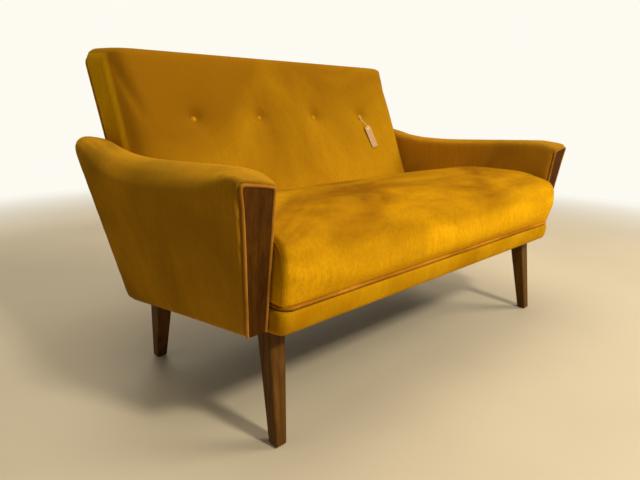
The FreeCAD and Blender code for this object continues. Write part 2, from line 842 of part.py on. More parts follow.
def build_facings(board, peg_holes):
    """The wooden wedges on the arm fronts, each with piping round three of its sides."""
    low_z = D["base_front_z"] + 1

    def front_edge(middle, way):
        on_front = abs(middle.y - front_line.at(middle.z).value) < 0.5
        return on_front and middle.z > low_z.value + 2 and middle.x < 580
    eased = round_edges("facing_eased", board, front_edge, D["facing_edge_chamfer"],
                        "Part::Chamfer")
    keep_pair("arm_facing", cut("facing_bored", eased, peg_holes))

    gap = D["facing_welt_radius"] + 0.5
    proud, bend = 1.2, 3.6
    route = [(D["facing_inner_x"] - gap, low_z),
             (D["facing_inner_x"] - gap, D["facing_top_inner_z"] + gap),
             (D["facing_top_outer_x"] + gap, D["facing_top_outer_z"] + gap),
             (D["facing_mid_outer_x"] + gap, D["facing_mid_z"]),
             (D["facing_base_outer_x"] + gap, low_z)]
    points = []
    for x, z in route:
        x, z = x.value, z.value
        points.append(Vector(x, front_line.at(z).value + proud, z))
    keep_pair("facing_welt", tube("facing_piping", points, D["facing_welt_radius"].value, bend))


# ---------------------------------------------------------------- piping and cord

def rounded_path(points, corner):
    """Straight runs joined by tangent arcs.

    corner is the arcs' radius, or None for the largest that the two runs allow.
    """
    edges = []
    start = points[0]
    for before, here, after in zip(points, points[1:], points[2:]):
        back, ahead = before - here, after - here
        turn = math.pi - back.getAngle(ahead)
        radius = corner or 0.45 * min(back.Length, ahead.Length) / math.tan(turn / 2)
        if corner is None:
            print(f"bend of radius {radius:.1f} mm")
        reach = radius * math.tan(turn / 2)
        back.normalize()
        ahead.normalize()
        enter, leave = here + back * reach, here + ahead * reach
        inward = (back + ahead).normalize()
        middle = here + inward * (radius / math.cos(turn / 2) - radius)
        if (enter - start).Length > 1e-4:
            edges.append(Part.LineSegment(start, enter).toShape())
        edges.append(Part.Arc(enter, middle, leave).toShape())
        start = leave
    edges.append(Part.LineSegment(start, points[-1]).toShape())
    return Part.Wire(edges)


def tube(name, points, radius, corner=None):
    """A round bar along straight runs and tangent arcs."""
    path = rounded_path(points, corner)
    way = (points[1] - points[0]).normalize()
    ring = Part.Wire([Part.makeCircle(radius, points[0], way)])
    shape = path.makePipeShell([ring], True, False)
    expected = math.pi * radius ** 2 * path.Length
    if abs(shape.Volume / expected - 1) > 0.02:
        raise RuntimeError(f"{name} has volume {shape.Volume:.0f}, not {expected:.0f}")
    feature = doc.addObject("Part::Feature", name)
    feature.Shape = shape
    return feature


# ---------------------------------------------------------------- seat

def seat_profile(inset):
    """The seat cushion's side view, drawn in by a distance: bottom, rear, crown and bullnose."""
    low = spring_line.raised(4)
    welt_top = Flat(D["border_high_z"] + D["welt_radius"] * 2 + 0.7)
    step = Steep(from_foot(D["seat_step_y"]), 0)
    rear = back_line.moved(-as_dim(1) - inset)
    front_y = from_foot(D["seat_bulge_y"]) + inset
    return [meet(border_line.moved(inset + D["seat_lip_step"]), welt_top), meet(step, welt_top),
            meet(step, low), meet(rear, low),
            (rear.at(D["seat_rear_z"] - inset), D["seat_rear_z"] - inset),
            (from_foot(D["seat_crown_rear_y"]), D["seat_crown_z"] - inset),
            (from_foot(D["seat_crown_y"]), D["seat_crown_z"] - inset),
            (front_y + 3, D["seat_front_top_z"] - inset),
            (front_y, D["seat_bulge_z"])]


def seat_solid(name, inset):
    """The cushion's solid with its crown and bullnose rounded."""
    half = D["seat_half_width"] - inset
    profile = seat_profile(inset)
    rounded = side_block(name, profile, -half, half)
    corners = [(5, D["seat_crown_rear_radius"]), (6, D["seat_crown_front_radius"]),
               (7, D["bullnose_radius"] - inset), (8, D["seat_bulge_radius"])]
    for corner, radius in corners:
        y, z = profile[corner]
        rounded = round_edges(f"{name}_round{corner}", rounded, along_x(y, z), radius)
    return rounded


def border_band(name):
    """The padded band round the front of the seat frame, rounded where it turns back."""
    half = D["seat_half_width"]
    front_y = border_line.at(D["border_high_z"]) - 2
    rear = Steep(from_foot(D["border_rear_y"]), 0)
    plan = plan_block(name + "_plan", [(-half, front_y), (half, front_y), (half, rear.start),
                                       (-half, rear.start)], far_low.start, far_high.start)

    def front_corner(middle, way):
        return abs(way.z) > 0.9 and middle.y < front_y.value + 5
    plan = round_edges(name + "_corners", plan, front_corner, D["border_corner_radius"])
    side = side_block(name + "_side", quad(border_line, rear, Flat(D["border_low_z"]),
                                           Flat(D["border_high_z"])), *whole_span)
    return common(name + "_band", plan, side)


def build_seat():
    """Cushion, its cover, the padded border under it and the piping between them."""
    cushion = seat_solid("seat_cushion", D["cover_thickness"])
    keep(cushion, "seat_foam")
    outside = seat_solid("seat_outside", as_dim(0))
    keep(cut("seat_shell", outside, cushion), "seat_cover")

    rail_half = D["seat_half_width"] - D["border_side_padding"]
    rail_room = side_block("border_rail_room",
                           quad(border_line.moved(D["border_padding"]), far_rear, far_low,
                                far_high), -rail_half, rail_half)
    keep(cut("border_shell", border_band("border"), rail_room), "front_border")

    radius, lip = D["welt_radius"], D["seat_lip_step"]
    x = (D["seat_half_width"] - radius + lip).value
    z = (D["border_high_z"] + radius + D["frame_gap"]).value
    front_y = border_line.at(z).value + lip.value
    rear_y = from_foot(D["border_rear_y"] - 1).value
    points = [Vector(-x, rear_y, z), Vector(-x, front_y, z), Vector(x, front_y, z),
              Vector(x, rear_y, z)]
    keep(tube("seat_piping", points, radius.value, D["border_corner_radius"].value), "seat_welt")


SPRING_COUNT = 8
SPRING_BENDS = 20


def zigzag(name, length, width, bends):
    """A zigzag spring lying in its own XY plane from Y = 0, drawn as bars joined by half turns."""
    pitch = length / bends
    turn = pitch / 2
    reach = width / 2 - turn
    edges = []
    side = 1
    for bend in range(bends):
        y = bend * pitch
        edges.append(Part.LineSegment(Vector(-side * reach, y, 0),
                                      Vector(side * reach, y, 0)).toShape())
        if bend < bends - 1:
            edges.append(Part.Arc(Vector(side * reach, y, 0),
                                  Vector(side * (reach + turn), y + turn, 0),
                                  Vector(side * reach, y + pitch, 0)).toShape())
        side = -side
    path = Part.Wire(edges)
    ring = Part.Wire([Part.makeCircle(D["spring_wire_radius"].value, Vector(-reach, 0, 0),
                                      Vector(1, 0, 0))])
    return path.makePipeShell([ring], True, False)


def spring_clip(radius):
    """A moulded clip round a spring's end bar, with the bar's slot through it."""
    wall = D["clip_wall"].value
    wide, long = D["clip_width"].value, D["clip_length"].value
    high = 2 * (radius + wall)
    low = 0.65 * wall - high / 2
    clip = Part.makeBox(wide, long, high, Vector(-wide / 2, -long / 2, low))
    slot = Part.makeCylinder(radius + 0.08, 2 * wide, Vector(-wide, 0, 0), OUTWARD)
    return clip.cut(slot)


def build_suspension():
    """Zigzag springs clipped to the front and rear rails, and the hessian laid over them."""
    fall = math.atan(D["spring_slope"].value)
    tilt = FreeCAD.Rotation(OUTWARD, -math.degrees(fall))
    start_y = from_foot(D["spring_start_y"]).value
    length = (from_foot(D["spring_end_y"]).value - start_y) / math.cos(fall)
    radius = D["spring_wire_radius"].value
    spring = zigzag("zigzag", length, D["spring_width"].value, SPRING_BENDS)
    last_bar = length * (SPRING_BENDS - 1) / SPRING_BENDS
    outermost = (D["seat_half_width"] - D["spring_side_distance"]).value
    springs, clips = [], []
    for number in range(SPRING_COUNT):
        x = -outermost + 2 * outermost * number / (SPRING_COUNT - 1)
        place = FreeCAD.Placement(Vector(x, start_y, spring_line.at(start_y).value), tilt)
        one = spring.copy()
        one.Placement = place
        springs.append(one)
        for along in (0.0, last_bar):
            clip = spring_clip(radius)
            clip.Placement = place.multiply(FreeCAD.Placement(Vector(0, along, 0),
                                                              FreeCAD.Rotation()))
            clips.append(clip)
    for label, shapes in (("seat_springs", springs), ("spring_clips", clips)):
        feature = doc.addObject("Part::Feature", label)
        feature.Shape = Part.makeCompound(shapes)
        keep(feature, label)

    low = spring_line.raised(D["spring_wire_radius"] + D["layer_gap"])
    half = D["seat_half_width"] - D["hessian_side_gap"]
    sheet = side_block("seat_hessian_sheet",
                       quad(Steep(from_foot(D["hessian_front_y"]), 0),
                            Steep(from_foot(D["hessian_rear_y"]), 0), low,
                            low.raised(D["sheet_thickness"])), -half, half)
    keep(sheet, "seat_hessian")


# ---------------------------------------------------------------- back

face_angle = math.atan(D["back_lean"].value)
face_out = Vector(0, -math.cos(face_angle), math.sin(face_angle))
face_down = Vector(0, -math.sin(face_angle), -math.cos(face_angle))


def on_face(x, height, down=0.0):
    """A point above the back cushion's face, at the buttons' level or some way below it."""
    z = D["button_z"].value
    origin = Vector(as_dim(x).value, back_line.at(z).value, z)
    return origin + face_out * height + face_down * down


def back_solid(name, inset, sides, top, front, rear, low):
    """The back's outer form, drawn in by the given distances."""
    half = D["back_half_width"] - sides
    face = back_line.moved(front)
    end = rear_line.moved(-as_dim(rear))
    high_front = D["back_top_front_z"] - top
    high_rear = D["back_top_rear_z"] - top
    points = [meet(face, low), meet(end, low), (end.at(high_rear), high_rear),
              (face.at(high_front), high_front)]
    block = side_block(name, points, -half, half)

    def top_corner(middle, way):
        return abs(way.y) > 0.9 and middle.z > high_rear.value - 2
    cornered = round_edges(name + "_cornered", block, top_corner,
                           D["back_corner_radius"] - inset)

    def front_frame(middle, way):
        return abs(middle.y - face.at(middle.z).value) < 0.5 and middle.z > low_front + 20
    low_front = points[0][1].value
    return round_edges(name + "_rounded", cornered, front_frame, D["back_edge_radius"] - inset)


def dimple_tools(name, depth_more, hole_depth):
    """The four hollows that the buttons pull into the back, each with a hole at its middle."""
    floor, mouth = D["dimple_floor_radius"].value, D["dimple_mouth_radius"].value
    depth = D["dimple_depth"].value
    tools = []
    for number, x in enumerate(button_places(), start=1):
        hollow = doc.addObject("Part::Cone", f"{name}_hollow_{number}")
        hollow.Radius1 = floor
        hollow.setExpression("Radius1", D["dimple_floor_radius"].text)
        hollow.Radius2 = mouth + (mouth - floor) * 4 / depth
        hollow.Height = depth + 4
        hollow.Placement = FreeCAD.Placement(on_face(x, -depth - depth_more),
                                             FreeCAD.Rotation(Vector(0, 0, 1), face_out))
        bore = rod(f"{name}_bore_{number}", D["twine_hole_radius"], hole_depth,
                   on_face(x, -depth - depth_more + 1), -face_out)
        tools.append(boolean("Part::Fuse", f"{name}_tool_{number}", hollow, bore))
    return group(name, tools)


def button_places():
    """The buttons' places across the back."""
    spacing = D["button_spacing"].value
    return [spacing * step for step in (-1.5, -0.5, 0.5, 1.5)]


def build_back():
    """The padded back and the frame behind it."""
    thick = D["cover_thickness"]
    back_low = spring_line.raised(6)
    none = as_dim(0)
    outside = back_solid("back_outside", 0, none, none, none, none, back_low)
    inner = back_solid("back_lining", thick, thick, thick, thick, -20, back_low.raised(-30))
    body = back_solid("back_body", thick, thick, thick, thick, thick + D["layer_gap"], back_low)

    through = 130
    cover_hollows = dimple_tools("cover_dimples", 0.0, through)
    foam_hollows = dimple_tools("foam_dimples", thick.value, through - 10)
    dimpled_outside = cut("back_outside_dimpled", outside, cover_hollows)
    dimpled_body = cut("back_body_dimpled", body, foam_hollows)
    dimpled_inner = cut("back_lining_dimpled", inner, foam_hollows)
    keep(cut("back_cover", dimpled_outside, dimpled_inner), "inside_back_cover")

    foam_rear = back_line.moved(D["back_foam_depth"])
    core_half = D["back_half_width"] - thick - D["back_side_padding"]
    core_top = Flat(D["back_top_rear_z"] - thick - D["back_top_padding"])
    beyond = rear_line.moved(30)
    front_zone = side_block("back_foam_zone", quad(back_line.moved(-30), foam_rear, far_low,
                                                   far_high), *whole_span)
    keep(common("back_foam_slab", dimpled_body, front_zone), "back_foam")
    top_zone = side_block("back_top_zone", quad(foam_rear, beyond, core_top, far_high),
                          *whole_span)
    keep(common("back_top_pad", body, top_zone), "back_top_padding")
    side_zone = side_block("back_side_zone", quad(foam_rear, beyond, far_low, core_top),
                           core_half, whole_span[1])
    keep_pair("back_side_padding", common("back_side_pad", body, side_zone))
    build_back_frame(foam_rear, core_half - 1, core_top.raised(-D["layer_gap"]),
                     back_low.raised(2))

    margin = thick + 1
    form = back_solid("back_panel_form", margin, margin, margin, none, none,
                      base_line.raised(1))
    slab = side_block("back_panel_slab", quad(rear_line.moved(-thick), rear_line,
                                              far_low, far_high), *whole_span)
    keep(common("outside_back_panel", form, slab), "outside_back_cover")


def build_back_frame(foam_rear, half, frame_top, hessian_low):
    """Posts and rails of the back, and the hessian and webbing stretched over them."""
    sheet = D["sheet_thickness"]
    web = D["webbing_thickness"]
    gap = D["layer_gap"]
    hessian_front = foam_rear.moved(gap)
    upright_front = hessian_front.moved(sheet + gap)
    cross_front = upright_front.moved(web + gap)
    frame_front = cross_front.moved(web + gap)
    frame_rear = rear_line.moved(-D["back_frame_inset"])
    frame_low = base_line.raised(D["rail_height"])
    low_rail_low = frame_low.raised(D["back_low_rail_lift"])
    low_rail_top = low_rail_low.raised(D["back_rail_height"])
    top_rail_low = frame_top.raised(-D["back_rail_height"])
    post = D["back_post_thickness"]
    keep_pair("back_post", side_block("back_post_blank", quad(frame_front, frame_rear, frame_low,
                                                              frame_top), half - post, half))
    keep(side_block("back_top_rail", quad(frame_front, frame_rear, top_rail_low, frame_top),
                    post - half, half - post), "back_top_rail")
    keep(side_block("back_low_rail", quad(frame_front, frame_rear, low_rail_low, low_rail_top),
                    post - half, half - post), "back_low_rail")
    keep(side_block("back_centre_post", quad(frame_front, frame_rear, low_rail_top,
                                             top_rail_low), -post / 2, post / 2),
         "back_centre_post")

    twine_holes = rods("twine_hole", D["twine_hole_radius"], 90,
                       [on_face(x, -D["dimple_depth"].value - 4) for x in button_places()],
                       -face_out)
    hessian = side_block("back_hessian_sheet",
                         quad(hessian_front, hessian_front.moved(sheet), hessian_low, frame_top),
                         -(half - 1), half - 1)
    keep(cut("back_hessian_pierced", hessian, twine_holes), "back_hessian")
    straps = []
    for number, step in enumerate((-1.5, -0.5, 0.5, 1.5), start=1):
        x = D["upright_webbing_spacing"] * step
        straps.append(side_block(f"upright_strap_{number}",
                                 quad(upright_front, upright_front.moved(web),
                                      low_rail_top.raised(-30), frame_top.raised(-10)),
                                 x - D["webbing_width"] / 2, x + D["webbing_width"] / 2))
    for number in (0, 1, 2):
        low = Flat(D["cross_webbing_low_z"] + D["cross_webbing_spacing"] * number)
        straps.append(side_block(f"cross_strap_{number + 1}",
                                 quad(cross_front, cross_front.moved(web), low,
                                      low.raised(D["webbing_width"])), -(half - 4), half - 4))
    keep(cut("back_webbing_pierced", group("back_straps", straps), twine_holes),
         "back_webbing")


def covered_button(number, x, under):
    """A domed button on a short shank, its underside at a height above the back's face."""
    radius, crown = D["button_radius"].value, D["button_crown"].value
    rim_height, shank_length = D["button_rim_height"].value, D["shank_length"].value
    rim_top = under + rim_height
    sphere = (radius ** 2 + crown ** 2) / (2 * crown)
    dome = doc.addObject("Part::Sphere", f"button_dome_{number}")
    dome.Radius = sphere
    dome.Placement = FreeCAD.Placement(on_face(x, rim_top + crown - sphere), FreeCAD.Rotation())
    disc = rod(f"button_disc_{number}", radius, crown + 1, on_face(x, rim_top), face_out)
    cap = common(f"button_cap_{number}", dome, disc)
    rim = rod(f"button_rim_{number}", radius, rim_height, on_face(x, under), face_out)
    shank = rod(f"button_shank_{number}", D["shank_radius"], shank_length,
                on_face(x, under - shank_length), face_out)
    body = boolean("Part::Fuse", f"button_body_{number}", rim, cap)
    return boolean("Part::Fuse", f"button_{number}", body, shank)


def build_buttons():
    """Covered buttons on shanks, each held by twine to a toggle behind the webbing."""
    under = (D["button_lift"] - D["dimple_depth"]).value
    shank_end = under - D["shank_length"].value
    layers = D["sheet_thickness"] + D["webbing_thickness"] * 2 + D["layer_gap"] * 4
    behind = (D["back_foam_depth"] + layers).value * math.cos(face_angle)
    buttons, cords, toggles = [], [], []
    for number, x in enumerate(button_places(), start=1):
        buttons.append(covered_button(number, x, under))
        cords.append(rod(f"twine_{number}", D["twine_radius"], behind + shank_end,
                         on_face(x, shank_end), -face_out))
        toggles.append(rod(f"toggle_{number}", D["toggle_radius"], D["toggle_thickness"],
                           on_face(x, -behind), -face_out))
    keep(group("buttons", buttons), "back_buttons")
    keep(group("button_twines", cords), "button_twines")
    keep(group("button_toggles", toggles), "button_toggles")


def on_tag(along, aside, height):
    """A point measured along and across the hanging tag from the last button's middle."""
    tilt = math.radians(D["tag_tilt"].value)
    sideways = Vector(1, 0, 0)
    down = face_down * math.cos(tilt) + sideways * math.sin(tilt)
    across = sideways * math.cos(tilt) - face_down * math.sin(tilt)
    return on_face(button_places()[-1], height) + down * along + across * aside


def build_tag():
    """A stiff paper tag with an eyelet, on a string looped round the last button's shank."""
    gap, thick = D["tag_gap"].value, D["tag_thickness"].value
    drop = D["tag_drop"].value
    string_radius = D["string_radius"].value
    eyelet_rim, eyelet_hole = D["eyelet_rim_radius"].value, D["eyelet_hole_radius"].value
    eyelet_barrel, eyelet_lip = eyelet_hole + 0.3, D["eyelet_lip"].value
    card = doc.addObject("Part::Box", "tag_card")
    for side, size in (("Length", D["tag_length"]), ("Width", D["tag_width"]),
                       ("Height", D["tag_thickness"])):
        setattr(card, side, size.value)
        card.setExpression(side, size.text)
    origin = on_tag(drop - D["tag_edge_distance"].value, -D["tag_width"].value / 2, gap)
    along = on_tag(1, 0, 0) - on_tag(0, 0, 0)
    across = on_tag(0, 1, 0) - on_tag(0, 0, 0)
    card.Placement = FreeCAD.Placement(origin, FreeCAD.Rotation(along, across, face_out, "XYZ"))
    doc.recompute()
    upper_edge = (on_tag(drop, 0, 0) - along * 2).dot(along)

    def upper_corner(middle, way):
        return abs(way.dot(face_out)) > 0.99 and middle.dot(along) < upper_edge
    clipped = round_edges("tag_clipped", card, upper_corner, D["tag_corner_clip"],
                          "Part::Chamfer")
    hole = rod("tag_hole", eyelet_barrel, 6, on_tag(drop, 0, gap - 3), face_out)
    keep(cut("tag_pierced", clipped, hole), "swing_tag")

    under_rim = (D["button_lift"] - D["dimple_depth"]).value - 1
    ring = doc.addObject("Part::Torus", "tag_loop_ring")
    ring.Radius1 = D["string_loop_radius"].value
    ring.Radius2 = string_radius
    ring.Placement = FreeCAD.Placement(on_tag(0, 0, under_rim),
                                       FreeCAD.Rotation(Vector(0, 0, 1), face_out))
    keep(ring, "tag_loop")
    route = [(4.6, 1.2, under_rim), (13.0, 3.0, under_rim), (25.5, 3.2, -4.4), (36.0, 2.8, 3.0),
             (42.3, 1.6, 6.8), (48.2, 0.0, 6.4), (48.2, 0.0, 1.0), (42.0, -1.4, 1.1),
             (32.0, -2.8, -1.6), (20.0, -3.2, -7.0), (12.0, -3.0, under_rim),
             (4.6, -1.2, under_rim)]
    points = [on_tag(*point) for point in route]
    keep(tube("tag_cord", points, string_radius), "tag_string")

    front_lip = rod("eyelet_front", eyelet_rim, eyelet_lip, on_tag(drop, 0, gap + thick),
                    face_out)
    back_lip = rod("eyelet_back", eyelet_rim, eyelet_lip, on_tag(drop, 0, gap - eyelet_lip),
                   face_out)
    barrel = rod("eyelet_barrel", eyelet_barrel, thick, on_tag(drop, 0, gap), face_out)
    front_half = boolean("Part::Fuse", "eyelet_front_half", front_lip, barrel)
    body = boolean("Part::Fuse", "eyelet_body", front_half, back_lip)
    bore = rod("eyelet_bore", eyelet_hole, 6, on_tag(drop, 0, gap - 3), face_out)
    keep(cut("eyelet_pierced", body, bore), "tag_eyelet")


def build_dust_cover():
    """The thin cloth under the frame, cut out round the four leg plates."""
    half_width = D["seat_half_width"] - 2
    sheet = side_block("dust_sheet",
                       quad(Steep(from_foot(D["seat_step_y"]), 0),
                            rear_line.moved(-D["rear_rail_inset"] - 4), base_line.raised(-0.9),
                            base_line.raised(-0.1)), -half_width, half_width)
    half = D["plate_side"] / 2 + 1
    rooms = []
    for end, x, y in (("front", D["front_leg_top_x"], from_foot(D["front_leg_rake"])),
                      ("rear", D["rear_leg_top_x"],
                       from_foot(D["foot_spacing_y"] - D["rear_leg_rake"]))):
        outer_x = half_width + 10
        rooms.append(plan_block(end + "_cut_out", [(x - half, y - half), (outer_x, y - half),
                                                   (outer_x, y + half), (x - half, y + half)],
                                far_low.start, far_high.start))
    one_side = group("cut_outs", rooms)
    keep(cut("dust_cover_sheet", sheet, group("cut_outs_all", [
        one_side, mirrored("cut_outs_other", one_side)])), "dust_cover")


def check_and_export():
    """Stop on any failed object; otherwise write one STEP file for each part."""
    for item in doc.Objects:
        if "Invalid" in item.State or "Error" in item.State:
            raise RuntimeError(f"{item.Name} failed: {item.State}")
    os.makedirs("parts", exist_ok=True)
    for item in parts:
        shape = item.Shape
        if shape.isNull() or not shape.isValid() or not shape.Solids:
            raise RuntimeError(f"{item.Label} has no valid shape")
        shape.exportStep(f"parts/{item.Label}.step")
        box = shape.optimalBoundingBox(True, False)
        print(f"{item.Label}: {len(shape.Solids)} solid, {shape.Volume / 1000:.1f} cm3,"
              f" X {box.XMin:.1f} {box.XMax:.1f} Y {box.YMin:.1f} {box.YMax:.1f}"
              f" Z {box.ZMin:.1f} {box.ZMax:.1f}")
    print(f"{len(parts)} parts")


def main():
    stud_holes = build_legs()
    arm_bolt_holes = build_seat_frame(stud_holes)
    peg_holes = facing_pegs()
    board = facing_board()
    build_arms(arm_bolt_holes, peg_holes, board)
    build_facings(board, peg_holes)
    build_seat()
    build_suspension()
    build_back()
    build_buttons()
    build_dust_cover()
    build_tag()
    doc.recompute()
    check_and_export()


main()
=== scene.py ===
"""Dresses the two-seater sofa: velvet upholstery, wooden legs and facings, and the paper tag.

Everything is in metres in the sofa's own frame: +Z up, the sofa faces -Y and X = 0 is its plane
of symmetry. The sofa is bounded by a few leaning lines in its side view, and every upholstered
form below is cut to those lines.
"""

import json
import logging
import math
from dataclasses import dataclass, field
from enum import Enum
from typing import Callable, Iterable, Sequence

import bmesh
import bpy
from mathutils import Matrix, Vector


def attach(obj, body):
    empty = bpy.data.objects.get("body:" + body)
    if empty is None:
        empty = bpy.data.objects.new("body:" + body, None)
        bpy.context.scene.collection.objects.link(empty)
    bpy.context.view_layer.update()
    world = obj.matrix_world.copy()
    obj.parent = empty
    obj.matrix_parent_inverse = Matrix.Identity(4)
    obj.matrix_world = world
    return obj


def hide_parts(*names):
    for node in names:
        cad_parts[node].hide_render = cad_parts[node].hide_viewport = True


# Linear red, green and blue.
Colour = tuple[float, float, float]
# x, y and z.
Point = tuple[float, float, float]
# y and z of a place in the side view.
Spot = tuple[float, float]
# The lower and the upper end of a range.
Limits = tuple[float, float]
# Says from an edge's middle and direction whether it is meant.
EdgeTest = Callable[[Vector, Vector], bool]

log = logging.getLogger("sofa")
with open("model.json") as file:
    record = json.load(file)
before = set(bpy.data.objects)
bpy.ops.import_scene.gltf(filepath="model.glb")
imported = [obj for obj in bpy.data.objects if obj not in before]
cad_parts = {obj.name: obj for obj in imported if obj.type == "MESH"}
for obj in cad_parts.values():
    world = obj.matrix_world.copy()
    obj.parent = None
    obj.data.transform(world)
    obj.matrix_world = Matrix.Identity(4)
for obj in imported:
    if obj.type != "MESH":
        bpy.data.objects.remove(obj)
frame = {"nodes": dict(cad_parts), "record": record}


# ---------------------------------------------------------------- the sofa's leading lines

@dataclass(frozen=True)
class SideLine:
    """A leaning line of the side view, which passes through (y, z)."""

    y: float
    z: float
    lean: float

    def at(self, height: float) -> float:
        """The line's y at a height."""
        return self.y + self.lean * (height - self.z)

    def moved(self, distance: float) -> "SideLine":
        """The same line, further back by a distance."""
        return SideLine(self.y + distance, self.z, self.lean)

    def normal(self) -> Vector:
        """The unit direction square to the line, towards the rear."""
        return Vector((0.0, 1.0, -self.lean)).normalized()


@dataclass(frozen=True)
class Slope:
    """A line of the side view that falls or rises gently along the sofa's depth."""

    y: float
    z: float
    rise: float

    def at(self, depth: float) -> float:
        """The line's height at a depth."""
        return self.z + self.rise * (depth - self.y)


FOOT_Y = -0.3724
FRONT = SideLine(FOOT_Y - 0.002, 0.243, -0.117)
FACE = SideLine(FOOT_Y + 0.566, 0.5995, 0.40)
REAR = SideLine(FOOT_Y + 0.788, 0.738, 0.459)
BASE = Slope(FOOT_Y, 0.243, -0.152)


class Side(Enum):
    """The two ends of the sofa, as seen from in front of it."""

    LEFT = -1
    RIGHT = 1

    @property
    def word(self) -> str:
        """The word that ends the names of this side's parts."""
        return self.name.lower()


# ---------------------------------------------------------------- bench tools

# An edge runs along an axis when this share of its direction does.
ALONG = 0.7
# An edge belongs to a line or plane that it is this near to, exactly or about.
TOUCH = 0.001
NEAR = 0.004
# How far a block stands past the lines that it is cut to.
SPARE = 0.02


def clamped(value: float) -> float:
    """A value kept between 0 and 1."""
    return min(1.0, max(0.0, value))


def nothing_selected() -> None:
    """Leaves every object unselected, in object mode."""
    if bpy.context.object and bpy.context.object.mode != "OBJECT":
        bpy.ops.object.mode_set(mode="OBJECT")
    bpy.ops.object.select_all(action="DESELECT")


def only(piece: bpy.types.Object) -> None:
    """Makes one object the selected and active one.

    Args:
        piece: the object to work on.
    """
    nothing_selected()
    piece.select_set(True)
    bpy.context.view_layer.objects.active = piece


def settled(piece: bpy.types.Object) -> bpy.types.Object:
    """Moves an object's place and size into its mesh, so that its origin is the sofa's.

    Args:
        piece: the object to settle.

    Returns:
        The same object.
    """
    only(piece)
    bpy.ops.object.transform_apply(location=True, rotation=True, scale=True)
    return piece


def block(name: str, low: Point, high: Point) -> bpy.types.Object:
    """A box to be cut and rounded into a piece.

    Args:
        name: the piece's name.
        low: its lowest corner.
        high: its highest corner.

    Returns:
        The new object.
    """
    nothing_selected()
    middle = [(a + b) / 2 for a, b in zip(low, high)]
    bpy.ops.mesh.primitive_cube_add(size=1.0, location=middle)
    piece = bpy.context.object
    piece.name = name
    piece.scale = [b - a for a, b in zip(low, high)]
    return settled(piece)


def edit(piece: bpy.types.Object) -> bmesh.types.BMesh:
    """Opens a piece in edit mode with nothing selected.

    Args:
        piece: the object to edit.

    Returns:
        Its edit mesh.
    """
    only(piece)
    bpy.ops.object.mode_set(mode="EDIT")
    bpy.ops.mesh.select_mode(type="EDGE")
    bpy.ops.mesh.select_all(action="DESELECT")
    return bmesh.from_edit_mesh(piece.data)


def close_edit() -> None:
    """Leaves edit mode."""
    bpy.ops.object.mode_set(mode="OBJECT")


def slice_off(piece: bpy.types.Object, at: Point, away: Vector) -> None:
    """Cuts a piece along a plane and throws away the far part.

    Args:
        piece: the object to cut.
        at: a point of the plane.
        away: the direction of the part that goes.
    """
    edit(piece)
    bpy.ops.mesh.select_all(action="SELECT")
    bpy.ops.mesh.bisect(plane_co=at, plane_no=away, use_fill=True, clear_outer=True)
    close_edit()


def score(piece: bpy.types.Object, at: Point, across: Vector) -> None:
    """Adds a ring of edges where a plane crosses a piece.

    Args:
        piece: the object to score.
        at: a point of the plane.
        across: the plane's direction.
    """
    edit(piece)
    bpy.ops.mesh.select_all(action="SELECT")
    bpy.ops.mesh.bisect(plane_co=at, plane_no=across)
    close_edit()


def round_off(piece: bpy.types.Object, wanted: EdgeTest, radius: float, steps: int = 6) -> None:
    """Rounds the chosen edges of a piece.

    Args:
        piece: the object to round.
        wanted: says from an edge's middle and direction whether it is rounded.
        radius: the radius of the rounding.
        steps: how many faces make the rounding.
    """
    mesh = edit(piece)
    widest = 0.0
    for edge in mesh.edges:
        middle = (edge.verts[0].co + edge.verts[1].co) / 2
        way = (edge.verts[1].co - edge.verts[0].co).normalized()
        if len(edge.link_faces) == 2 and wanted(middle, way):
            edge.select_set(True)
            widest = max(widest, radius * math.tan(edge.calc_face_angle(0.0) / 2))
    bmesh.update_edit_mesh(piece.data)
    if widest > 0:
        bpy.ops.mesh.bevel(offset=widest, segments=steps, affect="EDGES")
    close_edit()


def across_at(spot: Spot) -> EdgeTest:
    """Chooses the edge that runs across the sofa through a place in the side view.

    Args:
        spot: the place's y and z.

    Returns:
        The test of an edge's middle and direction.
    """
    place = Vector((0.0, *spot))
    return lambda middle, way: abs(way.x) > ALONG and (middle - place).yz.length < NEAR


def reshape(piece: bpy.types.Object, move: Callable[[Vector], Vector]) -> None:
    """Moves every point of a piece by a rule.

    Args:
        piece: the object to shape.
        move: gives a point's new place from its old one.
    """
    for vertex in piece.data.vertices:
        vertex.co = move(vertex.co.copy())
    piece.data.update()


def apply_modifier(piece: bpy.types.Object, kind: str, **settings: object) -> None:
    """Adds a modifier and applies it.

    Args:
        piece: the object that is changed.
        kind: the modifier's type.
        settings: the modifier's own settings.
    """
    only(piece)
    modifier = piece.modifiers.new(kind.title(), kind)
    for setting, value in settings.items():
        setattr(modifier, setting, value)
    bpy.ops.object.modifier_apply(modifier=modifier.name)


def even_mesh(piece: bpy.types.Object, grain: float) -> None:
    """Gives a closed form an even mesh.

    Args:
        piece: the closed object.
        grain: the side of the mesh's squares.
    """
    apply_modifier(piece, "REMESH", mode="VOXEL", voxel_size=grain)


def relax(piece: bpy.types.Object, rounds: int) -> None:
    """Softens the ridges of a piece.

    Args:
        piece: the object to soften.
        rounds: how often the points move halfway towards their neighbours.
    """
    apply_modifier(piece, "SMOOTH", iterations=rounds, factor=0.5)


def smooth_shaded(piece: bpy.types.Object, sharp_angle: float = 0.0) -> None:
    """Shades a piece smoothly.

    Args:
        piece: the object to shade.
        sharp_angle: edges that turn more than this stay sharp; 0 keeps none.
    """
    only(piece)
    if sharp_angle:
        bpy.ops.object.shade_smooth_by_angle(angle=sharp_angle)
    else:
        bpy.ops.object.shade_smooth()


@dataclass(frozen=True)
class Stuffing:
    """How hard a cushion is filled, and how far its cover may move as it swells."""

    pressure: float
    reach: float
    frames: int = 20
    stiffness: float = 15.0
    bending: float = 0.5
    quality: int = 4


